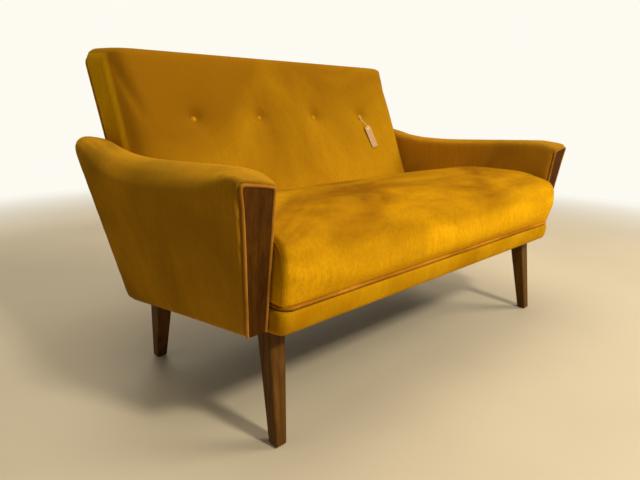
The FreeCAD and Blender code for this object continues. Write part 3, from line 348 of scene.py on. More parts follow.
def swell(piece: bpy.types.Object, stuffing: Stuffing, held: Callable[[Vector], float]) -> None:
    """Blows a closed cover up as its filling would, with the cloth held where it is sewn down.

    Args:
        piece: the evenly meshed cover.
        stuffing: the filling.
        held: says from 0 to 1 how firmly a point is held.
    """
    scene = bpy.context.scene
    before = [vertex.co.copy() for vertex in piece.data.vertices]
    pins = piece.vertex_groups.new(name="sewn_down")
    for vertex in piece.data.vertices:
        weight = clamped(held(vertex.co))
        if weight > 0:
            pins.add([vertex.index], weight, "REPLACE")
    only(piece)
    cloth = piece.modifiers.new("Cover", "CLOTH")
    settings = cloth.settings
    settings.quality = stuffing.quality
    settings.use_pressure = True
    settings.uniform_pressure_force = stuffing.pressure
    settings.tension_stiffness = stuffing.stiffness
    settings.compression_stiffness = stuffing.stiffness
    settings.bending_stiffness = stuffing.bending
    settings.vertex_group_mass = pins.name
    settings.effector_weights.gravity = 0.0
    cloth.collision_settings.use_collision = False
    cloth.collision_settings.use_self_collision = False
    cloth.point_cache.frame_start = 1
    cloth.point_cache.frame_end = stuffing.frames
    for number in range(1, stuffing.frames + 1):
        scene.frame_set(number)
    bpy.ops.object.modifier_apply(modifier=cloth.name)
    scene.frame_set(1)
    for vertex, start in zip(piece.data.vertices, before):
        step = vertex.co - start
        if step.length > stuffing.reach:
            vertex.co = start + step.normalized() * stuffing.reach
    piece.vertex_groups.clear()
    piece.data.update()


def cord_tube(name: str, points: Sequence[Point], radius: float,
              sides: int = 3) -> bpy.types.Object:
    """A round cord that curves along a route.

    Args:
        name: the piece's name.
        points: the points that lead it.
        radius: the cord's radius.
        sides: how finely the cord's round section is divided.

    Returns:
        The new curve object.
    """
    nothing_selected()
    curve = bpy.data.curves.new(name, "CURVE")
    piece = bpy.data.objects.new(name, curve)
    bpy.context.collection.objects.link(piece)
    spline = curve.splines.new("NURBS")
    spline.points.add(len(points) - 1)
    for target, point in zip(spline.points, points):
        target.co = (*point, 1.0)
    spline.order_u = 3
    spline.use_endpoint_u = True
    curve.dimensions = "3D"
    curve.resolution_u = 10
    curve.bevel_depth = radius
    curve.bevel_resolution = sides
    curve.use_fill_caps = True
    return piece


def joined(name: str, pieces: Iterable[bpy.types.Object]) -> bpy.types.Object:
    """Joins several meshes into one piece.

    Args:
        name: the name of the joined piece.
        pieces: the meshes.

    Returns:
        The one object that is left.
    """
    members = list(pieces)
    only(members[0])
    for member in members:
        member.select_set(True)
    if len(members) > 1:
        bpy.ops.object.join()
    whole = bpy.context.object
    whole.name = name
    return whole


def as_mesh(piece: bpy.types.Object) -> bpy.types.Object:
    """Turns a curve into a mesh.

    Args:
        piece: the curve.

    Returns:
        The object, now a mesh.
    """
    only(piece)
    bpy.ops.object.convert(target="MESH")
    return bpy.context.object


def piping_cord(name: str, points: Sequence[Point], radius: float) -> bpy.types.Object:
    """A finished length of piping.

    Args:
        name: the piece's name.
        points: the points that lead it.
        radius: the piping's radius.

    Returns:
        The piping, as a mesh.
    """
    cord = as_mesh(cord_tube(name, points, radius, sides=4))
    smooth_shaded(cord)
    return cord


def wrap_up(piece: bpy.types.Object, body: str, slot: str, finish: bpy.types.Material,
            *stands_for: str) -> bpy.types.Object:
    """Dresses a piece, fixes it to its body and names what it stands for.

    Args:
        piece: the finished object.
        body: the body that it rides on.
        slot: the slot of the record that its finish belongs to; not used.
        finish: its material.
        stands_for: the plain solids that it replaces.

    Returns:
        The same object.
    """
    piece.data.materials.clear()
    piece.data.materials.append(finish)
    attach(piece, body)
    if stands_for:
        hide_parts(*stands_for)
    log.info("%s stands for %s", piece.name, ", ".join(stands_for) or "nothing else")
    return piece


# ---------------------------------------------------------------- finishes

# The stretch of cloudy noise that most of it lies in.
MIDDLING = (0.3, 0.7)
# The length of one wave of the wave texture at scale 1.
WAVE_LENGTH = 0.314
# The solids' edges that turn more than this stay sharp.
SOLID_EDGE = math.radians(32)
# A colour as it is, or the socket that it comes from.
Tone = Colour | bpy.types.NodeSocket


class Recipe:
    """A material's nodes, wired up one after another."""

    def __init__(self, name: str) -> None:
        """Starts a material.

        Args:
            name: the material's name.
        """
        self.material = bpy.data.materials.new(name)
        self.material.use_nodes = True
        self.tree = self.material.node_tree
        self.surface = self.tree.nodes["Principled BSDF"]
        self.place = self.tree.nodes.new("ShaderNodeTexCoord").outputs["Object"]

    def node(self, kind: str, **settings: object) -> bpy.types.Node:
        """Adds a node.

        Args:
            kind: the node's type, without its ShaderNode.
            settings: its settings, or its inputs by name.

        Returns:
            The new node.
        """
        made = self.tree.nodes.new("ShaderNode" + kind)
        for name, value in settings.items():
            if name in made.bl_rna.properties:
                setattr(made, name, value)
            else:
                made.inputs[name].default_value = value
        return made

    def wire(self, source: bpy.types.NodeSocket, target: bpy.types.NodeSocket) -> None:
        """Joins two sockets."""
        self.tree.links.new(source, target)

    def calculate(self, operation: str, *values: bpy.types.NodeSocket) -> bpy.types.NodeSocket:
        """Reckons with one or two values.

        Args:
            operation: what is done with them.
            values: the sockets that they come from.

        Returns:
            The result.
        """
        made = self.node("Math", operation=operation)
        for source, target in zip(values, made.inputs):
            self.wire(source, target)
        return made.outputs[0]

    def stretched(self, scale: Point, shift: Point) -> bpy.types.NodeSocket:
        """The object's own coordinates, stretched and then shifted.

        Args:
            scale: the factor along each axis.
            shift: what is added along each axis.

        Returns:
            The new coordinates.
        """
        mapping = self.node("Mapping", Scale=scale, Location=shift)
        self.wire(self.place, mapping.inputs["Vector"])
        return mapping.outputs["Vector"]

    def noise(self, scale: float, detail: float = 2.0, stretch: Point = (1, 1, 1),
              roughness: float = 0.5, distortion: float = 0.0,
              shift: Point = (0, 0, 0)) -> bpy.types.NodeSocket:
        """Cloudy noise.

        Args:
            scale: how fine the noise is.
            detail: how many finer layers it has.
            stretch: the factor along each axis.
            roughness: how strong the finer layers are.
            distortion: how much it swirls.
            shift: where in the endless pattern the piece lies.

        Returns:
            The noise's value, from 0 to 1.
        """
        made = self.node("TexNoise", Scale=scale, Detail=detail, Roughness=roughness,
                         Distortion=distortion)
        self.wire(self.stretched(stretch, shift), made.inputs["Vector"])
        return made.outputs["Fac"]

    def ramp(self, value: bpy.types.NodeSocket, low: float, high: float,
             start: float = 0.0, end: float = 1.0) -> bpy.types.NodeSocket:
        """Spreads a value between two limits.

        Args:
            value: the value to spread.
            low: what gives the start.
            high: what gives the end.
            start: the result at and below low.
            end: the result at and above high.

        Returns:
            The result.
        """
        made = self.node("MapRange")
        self.wire(value, made.inputs["Value"])
        for name, number in (("From Min", low), ("From Max", high), ("To Min", start),
                             ("To Max", end)):
            made.inputs[name].default_value = number
        return made.outputs["Result"]

    def blend(self, amount: bpy.types.NodeSocket, first: Tone,
              second: Tone) -> bpy.types.NodeSocket:
        """Mixes two colours.

        Args:
            amount: 0 gives the first colour and 1 the second.
            first: a colour or a socket.
            second: a colour or a socket.

        Returns:
            The mixed colour.
        """
        made = self.node("Mix", data_type="RGBA")
        self.wire(amount, made.inputs[0])
        for socket, source in ((made.inputs[6], first), (made.inputs[7], second)):
            if isinstance(source, bpy.types.NodeSocket):
                self.wire(source, socket)
            else:
                socket.default_value = (*source, 1.0)
        return made.outputs[2]

    def relief(self, height: bpy.types.NodeSocket, strength: float, depth: float) -> None:
        """Gives the surface a fine relief.

        Args:
            height: the relief's height.
            strength: how much of it shows.
            depth: how deep it is, in metres.
        """
        bump = self.node("Bump", Strength=strength, Distance=depth)
        self.wire(height, bump.inputs["Height"])
        self.wire(bump.outputs["Normal"], self.surface.inputs["Normal"])

    def colour(self, source: bpy.types.NodeSocket) -> None:
        """Takes the surface's colour from a socket."""
        self.wire(source, self.surface.inputs["Base Color"])

    def roughness(self, source: bpy.types.NodeSocket) -> None:
        """Takes the surface's roughness from a socket."""
        self.wire(source, self.surface.inputs["Roughness"])

    def set(self, **values: object) -> None:
        """Sets the surface's own sockets, named with underscores for spaces.

        Args:
            values: the value of each socket.
        """
        for name, value in values.items():
            self.surface.inputs[name.replace("_", " ")].default_value = value


def shaded(colour: Colour, share: float) -> Colour:
    """A colour with a share of its light."""
    return tuple(share * part for part in colour)


@dataclass(frozen=True)
class Marks:
    """Marks of one size in the nap, where the colour keeps only a share of its light."""

    scale: float
    detail: float
    stretch: Point
    limits: Limits
    shade: float

    def pattern(self, recipe: Recipe) -> bpy.types.NodeSocket:
        """The cloudy noise that the marks follow."""
        return recipe.noise(self.scale, self.detail, self.stretch)


COMBING = Marks(150.0, 2.0, (1.0, 1.0, 0.07), (0.40, 0.70), 0.75)
STROKES = Marks(26.0, 3.0, (1.0, 0.6, 0.16), (0.35, 0.75), 0.80)
PILE = Marks(420.0, 2.0, (1.0, 1.0, 0.25), (0.35, 0.75), 0.66)


@dataclass(frozen=True)
class Velvet:
    """Cotton velvet with a brushed nap: lighter and darker where it was stroked either way.

    Along the lean, about its middle point, the patches go over to the dark colour: painted shade,
    which darkens a piece towards one end. Towards the side band, by the distance from the sofa's
    middle, the colour goes over to a lighter one of its own: painted light on the sides.
    """

    name: str
    light: Colour
    dark: Colour
    # The brushed patches of the two colours.
    patch_size: float = 3.4
    patch_stretch: Point = (1.0, 1.0, 1.0)
    patch_shift: Point = (0.0, 0.0, 0.0)
    patch_limits: Limits = (0.42, 0.60)
    patch_detail: float = 4.0
    patch_roughness: float = 0.55
    patch_swirl: float = 0.7
    # Painted shade along the lean, about its middle point, and painted light in the side band.
    lean: Point = (0.0, 0.0, 0.0)
    lean_middle: Point = (0.0, 0.0, 0.0)
    side_band: Limits | None = None
    side_light: Colour = (0.0, 0.0, 0.0)
    # How strong the nap's marks are, and the pile's relief.
    combed: float = 0.24
    stroked: float = 0.20
    piled: float = 0.28
    pile_relief: float = 0.35
    pile_depth: float = 0.0006
    roughness: Limits = (0.78, 0.95)

    def patches(self, recipe: Recipe) -> bpy.types.NodeSocket:
        """Lays the light and the dark colour out in brushed patches.

        Args:
            recipe: the material's recipe.

        Returns:
            The colour.
        """
        cloud = recipe.noise(self.patch_size, self.patch_detail, self.patch_stretch,
                             self.patch_roughness, self.patch_swirl, self.patch_shift)
        # Painted shade: the lean is added to the cloud, so that the patches go dark towards one
        # end.
        centred = recipe.node("VectorMath", operation="SUBTRACT")
        recipe.wire(recipe.place, centred.inputs[0])
        centred.inputs[1].default_value = self.lean_middle
        painted_shade_drift = recipe.node("VectorMath", operation="DOT_PRODUCT")
        recipe.wire(centred.outputs["Vector"], painted_shade_drift.inputs[0])
        painted_shade_drift.inputs[1].default_value = self.lean
        cloud_and_painted_shade = recipe.calculate("ADD", cloud, painted_shade_drift.outputs["Value"])
        return recipe.blend(recipe.ramp(cloud_and_painted_shade, *self.patch_limits), self.light, self.dark)

    def make(self) -> bpy.types.Material:
        """Builds the material.

        Returns:
            The finished material.
        """
        recipe = Recipe(self.name)
        tone = self.patches(recipe)
        # Painted light: in the side band the colour goes over to the lighter side colour.
        if self.side_band:
            parts = recipe.node("SeparateXYZ")
            recipe.wire(recipe.place, parts.inputs[0])
            aside = recipe.calculate("ABSOLUTE", parts.outputs["X"])
            tone = recipe.blend(recipe.ramp(aside, *self.side_band), tone, self.side_light)
        pile = PILE.pattern(recipe)
        for marks, pattern, share in ((COMBING, COMBING.pattern(recipe), self.combed),
                                      (STROKES, STROKES.pattern(recipe), self.stroked),
                                      (PILE, pile, self.piled)):
            tone = recipe.blend(recipe.ramp(pattern, *marks.limits, 0.0, share), tone,
                                shaded(self.dark, marks.shade))
        recipe.colour(tone)
        recipe.roughness(recipe.ramp(pile, *MIDDLING, *self.roughness))
        recipe.relief(pile, self.pile_relief, self.pile_depth)
        recipe.set(Sheen_Weight=0.15, Sheen_Roughness=0.40, Sheen_Tint=(1.0, 0.58, 0.03, 1.0),
                   Specular_IOR_Level=0.0)
        return recipe.material


@dataclass(frozen=True)
class Timber:
    """Lacquered wood with its grain along one axis."""

    name: str
    light: Colour
    dark: Colour
    along: Point = (1.0, 1.0, 0.06)
    ring_scale: float = 60.0
    gloss: float = 0.42
    shine: float = 0.06
    # The figure, the pores and the cloudiness of the wood.
    figure_limits: Limits = (0.32, 0.68)
    pore_fineness: float = 9.0
    pore_length: float = 2.5
    pore_limits: Limits = (0.58, 0.72)
    pore_share: float = 0.5
    pore_shade: float = 0.35
    pore_relief: float = 0.12
    pore_depth: float = 0.0004
    cloud_size: float = 5.0
    cloud_limits: Limits = (0.35, 0.7)
    cloud_share: float = 0.35
    cloud_shade: float = 0.7
    gloss_spread: Limits = (-0.08, 0.10)

    def make(self) -> bpy.types.Material:
        """Builds the material.

        Returns:
            The finished material.
        """
        recipe = Recipe(self.name)
        figure = recipe.noise(self.ring_scale, detail=5.0, stretch=self.along, roughness=0.62,
                              distortion=0.9)
        longer = tuple(part if part == 1.0 else part / self.pore_length for part in self.along)
        pores = recipe.noise(self.ring_scale * self.pore_fineness, stretch=longer)
        cloud = recipe.noise(self.cloud_size, detail=1.0)
        tone = recipe.blend(recipe.ramp(figure, *self.figure_limits), self.dark, self.light)
        tone = recipe.blend(recipe.ramp(pores, *self.pore_limits, 0.0, self.pore_share), tone,
                            shaded(self.dark, self.pore_shade))
        tone = recipe.blend(recipe.ramp(cloud, *self.cloud_limits, 0.0, self.cloud_share), tone,
                            shaded(self.light, self.cloud_shade))
        recipe.colour(tone)
        low, high = (self.gloss + spread for spread in self.gloss_spread)
        recipe.roughness(recipe.ramp(figure, *MIDDLING, low, high))
        recipe.relief(pores, self.pore_relief, self.pore_depth)
        recipe.set(Coat_Weight=0.0, Specular_IOR_Level=self.shine)
        return recipe.material


@dataclass(frozen=True)
class Woven:
    """Loose cloth such as hessian, webbing, lining or string, with its threads as relief."""

    name: str
    colour: Colour
    pitch: float
    roughness: float = 0.9
    depth: float = 0.0006
    looseness: float = 1.2
    weave_limits: Limits = (0.2, 1.6)
    gap_shade: float = 0.55
    relief: float = 0.5

    def make(self) -> bpy.types.Material:
        """Builds the material.

        Returns:
            The finished material.
        """
        recipe = Recipe(self.name)
        bands = []
        for way in ("X", "Y", "Z"):
            wave = recipe.node("TexWave", wave_type="BANDS", bands_direction=way,
                               Scale=WAVE_LENGTH / self.pitch, Distortion=self.looseness,
                               Detail=1.0)
            recipe.wire(recipe.place, wave.inputs["Vector"])
            bands.append(wave.outputs["Fac"])
        weave = recipe.calculate("ADD", bands[0], recipe.calculate("MULTIPLY", *bands[1:]))
        recipe.colour(recipe.blend(recipe.ramp(weave, *self.weave_limits),
                                   shaded(self.colour, self.gap_shade), self.colour))
        recipe.relief(weave, self.relief, self.depth)
        recipe.set(Roughness=self.roughness, Specular_IOR_Level=0.2)
        return recipe.material


@dataclass(frozen=True)
class Speckled:
    """A plain stuff with faint mottling, such as foam, steel, brass, plastic or card."""

    name: str
    colour: Colour
    roughness: float
    metal: float = 0.0
    mottle: float = 0.18
    grain: float = 90.0
    depth: float = 0.0003
    relief: float = 0.2
    roughness_spread: float = 0.12

    def make(self) -> bpy.types.Material:
        """Builds the material.

        Returns:
            The finished material.
        """
        recipe = Recipe(self.name)
        cloud = recipe.noise(self.grain, detail=4.0)
        recipe.colour(recipe.blend(recipe.ramp(cloud, *MIDDLING),
                                   shaded(self.colour, 1 - self.mottle), self.colour))
        recipe.roughness(recipe.ramp(cloud, *MIDDLING, self.roughness,
                                     min(1.0, self.roughness + self.roughness_spread)))
        recipe.relief(cloud, self.relief, self.depth)
        recipe.set(Metallic=self.metal)
        return recipe.material


class Finishes:
    """Every material of the sofa; what dresses plain solids is named as their slots are."""

    def __init__(self) -> None:
        """Makes the materials."""
        # Copies of one velvet at different tones, which paint in each piece's light and shade.
        # The seat's is the lightest, painted light; its lean paints shade on the crown, darker
        # towards the top.
        self.seat_velvet = Velvet(
            "seat_velvet", (0.79, 0.385, 0.0042), (0.205, 0.075, 0.0030), patch_size=3.8,
            patch_stretch=(0.75, 1.35, 1.35), patch_shift=(0.0, 0.6, 0.0),
            patch_limits=(0.25, 0.75), lean=(0.0, 0.0, 3.9), lean_middle=(0.0, 0.0, 0.402),
            combed=0.14, stroked=0.12).make()
        # The arms': a darker copy, painted shade.
        self.arm_velvet = Velvet(
            "arm_velvet", (0.510, 0.235, 0.0100), (0.320, 0.149, 0.0080),
            patch_limits=(0.36, 0.64)).make()
        # The back's: a darker copy, painted shade, darker still towards its upper left; its sides
        # are painted light.
        self.back_velvet = Velvet(
            "back_velvet", (0.455, 0.220, 0.0048), (0.258, 0.107, 0.0034), patch_size=2.6,
            patch_limits=(0.30, 0.70), lean=(-0.36, 0.0, 1.05), lean_middle=(0.05, 0.0, 0.52),
            side_band=(0.513, 0.526), side_light=(0.82, 0.420, 0.005),
            combed=0.16, stroked=0.14).make()
        # The seat piping's: a darker copy, painted shade.
        self.velvet = Velvet("piping_velvet", (0.560, 0.240, 0.0200), (0.360, 0.140, 0.0100),
                             patch_size=9.0).make()
        # The facing piping's: darker still, painted shade.
        self.facing_piping_velvet = Velvet(
            "facing_piping_velvet", (0.450, 0.190, 0.0240), (0.300, 0.115, 0.0120),
            patch_size=9.0).make()
        # The border's: darker than the seat's, painted shade; on the buttons, lighter than the
        # back's, painted light.
        self.border_velvet = Velvet("border_velvet", (0.575, 0.285, 0.0045),
                                    (0.436, 0.195, 0.002), patch_size=6.0).make()
        # The seams': darker than the seat's, painted shade along the seams.
        self.seam_velvet = Velvet("seam_velvet", (0.48, 0.225, 0.002), (0.34, 0.145, 0.002),
                                  patch_size=9.0).make()
        self.leg_wood = Timber("leg_wood", (0.156, 0.068, 0.011), (0.063, 0.024, 0.004)).make()
        self.facing_wood = Timber("facing_wood", (0.102, 0.037, 0.004), (0.038, 0.012, 0.002),
                                  ring_scale=85.0, gloss=0.62, shine=0.02).make()
        self.frame_wood = Timber("frame_wood", (0.33, 0.20, 0.10), (0.22, 0.13, 0.06),
                                 along=(0.06, 1.0, 1.0), ring_scale=45.0, gloss=0.7).make()
        self.steel = Speckled("steel", (0.55, 0.55, 0.56), 0.32, metal=1.0).make()
        self.clip_plastic = Speckled("clip_plastic", (0.85, 0.84, 0.80), 0.45).make()
        self.foam = Speckled("foam", (0.86, 0.80, 0.62), 0.95, grain=220.0, depth=0.001).make()
        self.hessian = Woven("hessian", (0.50, 0.38, 0.22), 0.0022, depth=0.0009).make()
        self.twine = Woven("twine", (0.78, 0.73, 0.62), 0.0012).make()
        self.dust_cloth = Woven("dust_cloth", (0.035, 0.034, 0.034), 0.0016).make()
        self.tag_card = Speckled("tag_card", (0.46, 0.270, 0.110), 0.8, mottle=0.08,
                                 grain=400.0).make()
        self.tag_cord = Woven("tag_cord", (0.94, 0.71, 0.33), 0.0009, depth=0.00004).make()
        self.eyelet_brass = Speckled("eyelet_brass", (0.72, 0.47, 0.15), 0.5, metal=1.0,
                                     mottle=0.1).make()

    def dress_solids(self) -> None:
        """Gives every solid of the frame the material of its slot."""
        for part in frame["record"]["subparts"]:
            solid = frame["nodes"][part["node"]]
            solid.data.materials.clear()
            solid.data.materials.append(getattr(self, part["material_slot"]))
            smooth_shaded(solid, SOLID_EDGE)
            log.info("%s dressed as %s", part["node"], part["material_slot"])


# ---------------------------------------------------------------- studio

@dataclass
class Softbox:
    """A square lamp that points at the sofa."""

    name: str
    place: Point
    size: float
    watts: float
    warmth: Colour
    aim: Point = (0.0, 0.0, 0.38)

    def hang(self) -> None:
        """Adds the lamp to the scene."""
        nothing_selected()
        bpy.ops.object.light_add(type="AREA", location=self.place)
        lamp = bpy.context.object
        lamp.name = self.name
        lamp.data.energy = self.watts
        lamp.data.size = self.size
        lamp.data.color = self.warmth
        way = Vector(self.aim) - Vector(self.place)
        lamp.rotation_mode = "QUATERNION"
        lamp.rotation_quaternion = way.to_track_quat("-Z", "Y")


def looked_at(tree: bpy.types.NodeTree) -> bpy.types.NodeSocket:
    """Tells rays that look at a surface, straight or in a mirror or through glass, from light.

    Args:
        tree: the node tree to add to.

    Returns:
        The socket that is 1 for such rays and 0 for others.
    """
    rays = tree.nodes.new("ShaderNodeLightPath")
    total = rays.outputs["Is Camera Ray"]
    for kind in ("Is Glossy Ray", "Is Transmission Ray"):
        either = tree.nodes.new("ShaderNodeMath")
        either.operation = "MAXIMUM"
        tree.links.new(total, either.inputs[0])
        tree.links.new(rays.outputs[kind], either.inputs[1])
        total = either.outputs[0]
    return total


LAMP_WARM = (1.0, 0.94, 0.82)
FILL_LEFT_WARM = (1.0, 0.97, 0.84)
FILL_REAR_WARM = (1.0, 0.95, 0.86)


@dataclass
class Studio:
    """Camera, floor, sky and lamps.

    Far from the sofa the floor goes over to the sky's pale glow, so that no edge is seen.
    """

    # The camera.
    eye: Point = (-1.04408, -1.03949, 0.63601)
    heading: float = 0.8096778
    pitch: float = 0.2613761
    roll: float = 0.0120661
    lens: float = 28.551
    sensor: float = 36.0
    nearest: float = 0.02
    # The floor, and how it fades.
    floor_half: float = 14.0
    floor_squares: int = 8
    floor_colour: Colour = (0.550, 0.465, 0.322)
    floor_seen: Colour = (0.62, 0.49, 0.325)
    floor_cloud: float = 2.2
    floor_cloud_limits: Limits = (0.35, 0.65)
    floor_cloud_shade: float = 0.94
    glow_limits: Limits = (1.5, 3.0)
    glow_least: float = 0.04
    pale_limits: Limits = (1.5, 2.8)
    # The sky and the lamps.
    sky_colour: Colour = (0.985, 0.965, 0.88)
    sky_warmth: Colour = (1.0, 0.95, 0.84)
    sky_light: float = 0.067
    lamps: list[Softbox] = field(default_factory=lambda: [
        Softbox("key", (0.05, -2.75, 2.55), 0.4, 82.0, LAMP_WARM, (0.0, -0.2, 0.35)),
        Softbox("right", (3.40, -2.60, 3.00), 1.8, 140.0, LAMP_WARM),
        Softbox("top", (-0.2, 0.2, 3.2), 2.2, 52.0, LAMP_WARM),
        Softbox("left_fill", (-2.6, 0.8, 2.4), 1.4, 6.0, FILL_LEFT_WARM),
        Softbox("rear_fill", (1.0, 3.0, 3.0), 2.0, 40.0, FILL_REAR_WARM),
    ])

    def set_camera(self) -> None:
        """Places the camera by its heading from +X, its downward pitch and its roll."""
        flat = Vector((math.cos(self.heading), math.sin(self.heading), 0.0))
        up = Vector((0.0, 0.0, 1.0))
        ahead = flat * math.cos(self.pitch) - up * math.sin(self.pitch)
        right = ahead.cross(up).normalized()
        above = right.cross(ahead)
        turned_right = right * math.cos(self.roll) + above * math.sin(self.roll)
        turned_up = above * math.cos(self.roll) - right * math.sin(self.roll)
        nothing_selected()
        bpy.ops.object.camera_add(location=self.eye)
        camera = bpy.context.object
        camera.name = "camera"
        camera.data.lens = self.lens
        camera.data.sensor_width = self.sensor
        camera.data.clip_start = self.nearest
        turn = Matrix((turned_right, turned_up, -ahead)).transposed()
        camera.rotation_mode = "QUATERNION"
        camera.rotation_quaternion = turn.to_quaternion()
        bpy.context.scene.camera = camera

    def floor_finish(self) -> bpy.types.Material:
        """A pale matt floor that goes over to the sky's colour far from the sofa.

        Returns:
            The floor's material.
        """
        recipe = Recipe("floor")
        cloud = recipe.noise(self.floor_cloud, detail=3.0)
        recipe.colour(recipe.blend(recipe.ramp(cloud, *self.floor_cloud_limits),
                                   self.floor_colour,
                                   shaded(self.floor_colour, self.floor_cloud_shade)))
        recipe.set(Roughness=0.6, Specular_IOR_Level=0.2)
        away = recipe.node("VectorMath", operation="LENGTH")
        recipe.wire(recipe.place, away.inputs[0])
        distance = away.outputs["Value"]
        fade = recipe.ramp(distance, *self.glow_limits, self.glow_least, 1.0)
        seen = recipe.calculate("MULTIPLY", fade, looked_at(recipe.tree))
        glow = recipe.node("Emission", Strength=1.0)
        recipe.wire(recipe.blend(recipe.ramp(distance, *self.pale_limits), self.floor_seen,
                                 self.sky_colour), glow.inputs["Color"])
        mix = recipe.node("MixShader")
        recipe.wire(seen, mix.inputs["Fac"])
        recipe.wire(recipe.surface.outputs[0], mix.inputs[1])
        recipe.wire(glow.outputs[0], mix.inputs[2])
        recipe.wire(mix.outputs[0], recipe.tree.nodes["Material Output"].inputs["Surface"])
        return recipe.material

    def lay_floor(self) -> None:
        """Lays the floor under the feet."""
        nothing_selected()
        bpy.ops.mesh.primitive_grid_add(x_subdivisions=self.floor_squares,
                                        y_subdivisions=self.floor_squares,
                                        size=2 * self.floor_half)
        floor = bpy.context.object
        floor.name = "floor"
        floor.data.materials.append(self.floor_finish())

    def light_sky(self) -> None:
        """A dim even sky for light, white where the camera sees it."""
        world = bpy.data.worlds.new("sky")
        bpy.context.scene.world = world
        world.use_nodes = True
        tree = world.node_tree
        light = tree.nodes["Background"]
        light.inputs["Color"].default_value = (*self.sky_warmth, 1.0)
        light.inputs["Strength"].default_value = self.sky_light
        white = tree.nodes.new("ShaderNodeBackground")
        white.inputs["Color"].default_value = (*self.sky_colour, 1.0)
        white.inputs["Strength"].default_value = 1.0
        mix = tree.nodes.new("ShaderNodeMixShader")
        tree.links.new(looked_at(tree), mix.inputs["Fac"])
        tree.links.new(light.outputs[0], mix.inputs[1])
        tree.links.new(white.outputs[0], mix.inputs[2])
        tree.links.new(mix.outputs[0], tree.nodes["World Output"].inputs["Surface"])

    def build(self) -> None:
        """Sets up the whole studio."""
        bpy.context.scene.view_settings.view_transform = "Standard"
        self.set_camera()
        self.lay_floor()
        self.light_sky()
        for lamp in self.lamps:
            lamp.hang()
        log.info("studio set up with %d lamps", len(self.lamps))


# ---------------------------------------------------------------- paper tag

@dataclass
class SwingTag:
    """The paper tag that hangs from the last button.

    The string's route is given as the distances down the tag, across it and off the back's face.
    """

    button_x: float = 0.327
    tilt: float = math.radians(12.0)
    string_radius: float = 0.0006
    drop: float = 0.0482
    card_height: float = 0.0036
    eyelet_rim: float = 0.0060
    eyelet_hole: float = 0.0026
    eyelet_flatness: float = 0.62
    route: tuple[Point, ...] = (
        (0.0046, 0.0012, -0.0104), (0.0130, 0.0030, -0.0104), (0.0255, 0.0032, -0.0044),
        (0.0360, 0.0028, 0.0030), (0.0423, 0.0016, 0.0068), (0.0482, 0.0000, 0.0064),
        (0.0482, 0.0000, 0.0010), (0.0420, -0.0014, 0.0011), (0.0320, -0.0028, -0.0016),
        (0.0200, -0.0032, -0.0070), (0.0120, -0.0030, -0.0104), (0.0046, -0.0012, -0.0104))

    def on_tag(self, along: float, aside: float, height: float) -> Vector:
        """A point measured along and across the hanging tag from the button's middle.

        Args:
            along: the distance down the tag.
            aside: the distance across it.
            height: the distance off the back's face.

        Returns:
            The point.
        """
        angle = math.atan(FACE.lean)
        out = Vector((0.0, -math.cos(angle), math.sin(angle)))
        fall = Vector((0.0, -math.sin(angle), -math.cos(angle)))
        side = Vector((1.0, 0.0, 0.0))
        down = fall * math.cos(self.tilt) + side * math.sin(self.tilt)
        across = side * math.cos(self.tilt) - fall * math.sin(self.tilt)
        button = Vector((self.button_x, FACE.at(FACE.z), FACE.z))
        return button + down * along + across * aside + out * height

    def build(self, finishes: Finishes) -> None:
        """Lays the string in a loop from the button through the eyelet, and sets the eyelet in.

        Args:
            finishes: the sofa's materials.
        """
        points = [self.on_tag(*place) for place in self.route]
        curve = cord_tube("tag_cord_line", points, self.string_radius)
        path = centreline(curve)
        string = as_mesh(curve)
        smooth_shaded(string)
        wrap_up(string, "tag", "tag_cord", finishes.tag_cord, "tag_string")
        self.eyelet(finishes)

    def eyelet(self, finishes: Finishes) -> None:
        """Sets the rolled brass eyelet into the card.

        Args:
            finishes: the sofa's materials.
        """
        nothing_selected()
        tube = (self.eyelet_rim - self.eyelet_hole) / 2
        bpy.ops.mesh.primitive_torus_add(major_radius=self.eyelet_hole + tube,
                                         minor_radius=tube, major_segments=48,
                                         minor_segments=12)
        ring = bpy.context.object
        ring.name = "rolled_eyelet"
        reshape(ring, lambda at: Vector((at.x, at.y, at.z * self.eyelet_flatness)))
        out = self.on_tag(0, 0, 1) - self.on_tag(0, 0, 0)
        turn = out.to_track_quat("Z", "Y").to_matrix().to_4x4()
        middle = self.on_tag(self.drop, 0.0, self.card_height)
        ring.data.transform(Matrix.Translation(middle) @ turn)
        smooth_shaded(ring)
        wrap_up(ring, "tag", "eyelet_brass", finishes.eyelet_brass, "tag_eyelet")


def centreline(curve: bpy.types.Object) -> list[Vector]:
    """The points that a curve's own line runs through.

    Args:
        curve: the curve object.

    Returns:
        The points, from its start to its end.
    """
    depth = curve.data.bevel_depth
    curve.data.bevel_depth = 0.0
    line = bpy.data.meshes.new_from_object(curve)
    curve.data.bevel_depth = depth
    points = [vertex.co.copy() for vertex in line.vertices]
    bpy.data.meshes.remove(line)
    return points


# ---------------------------------------------------------------- seat

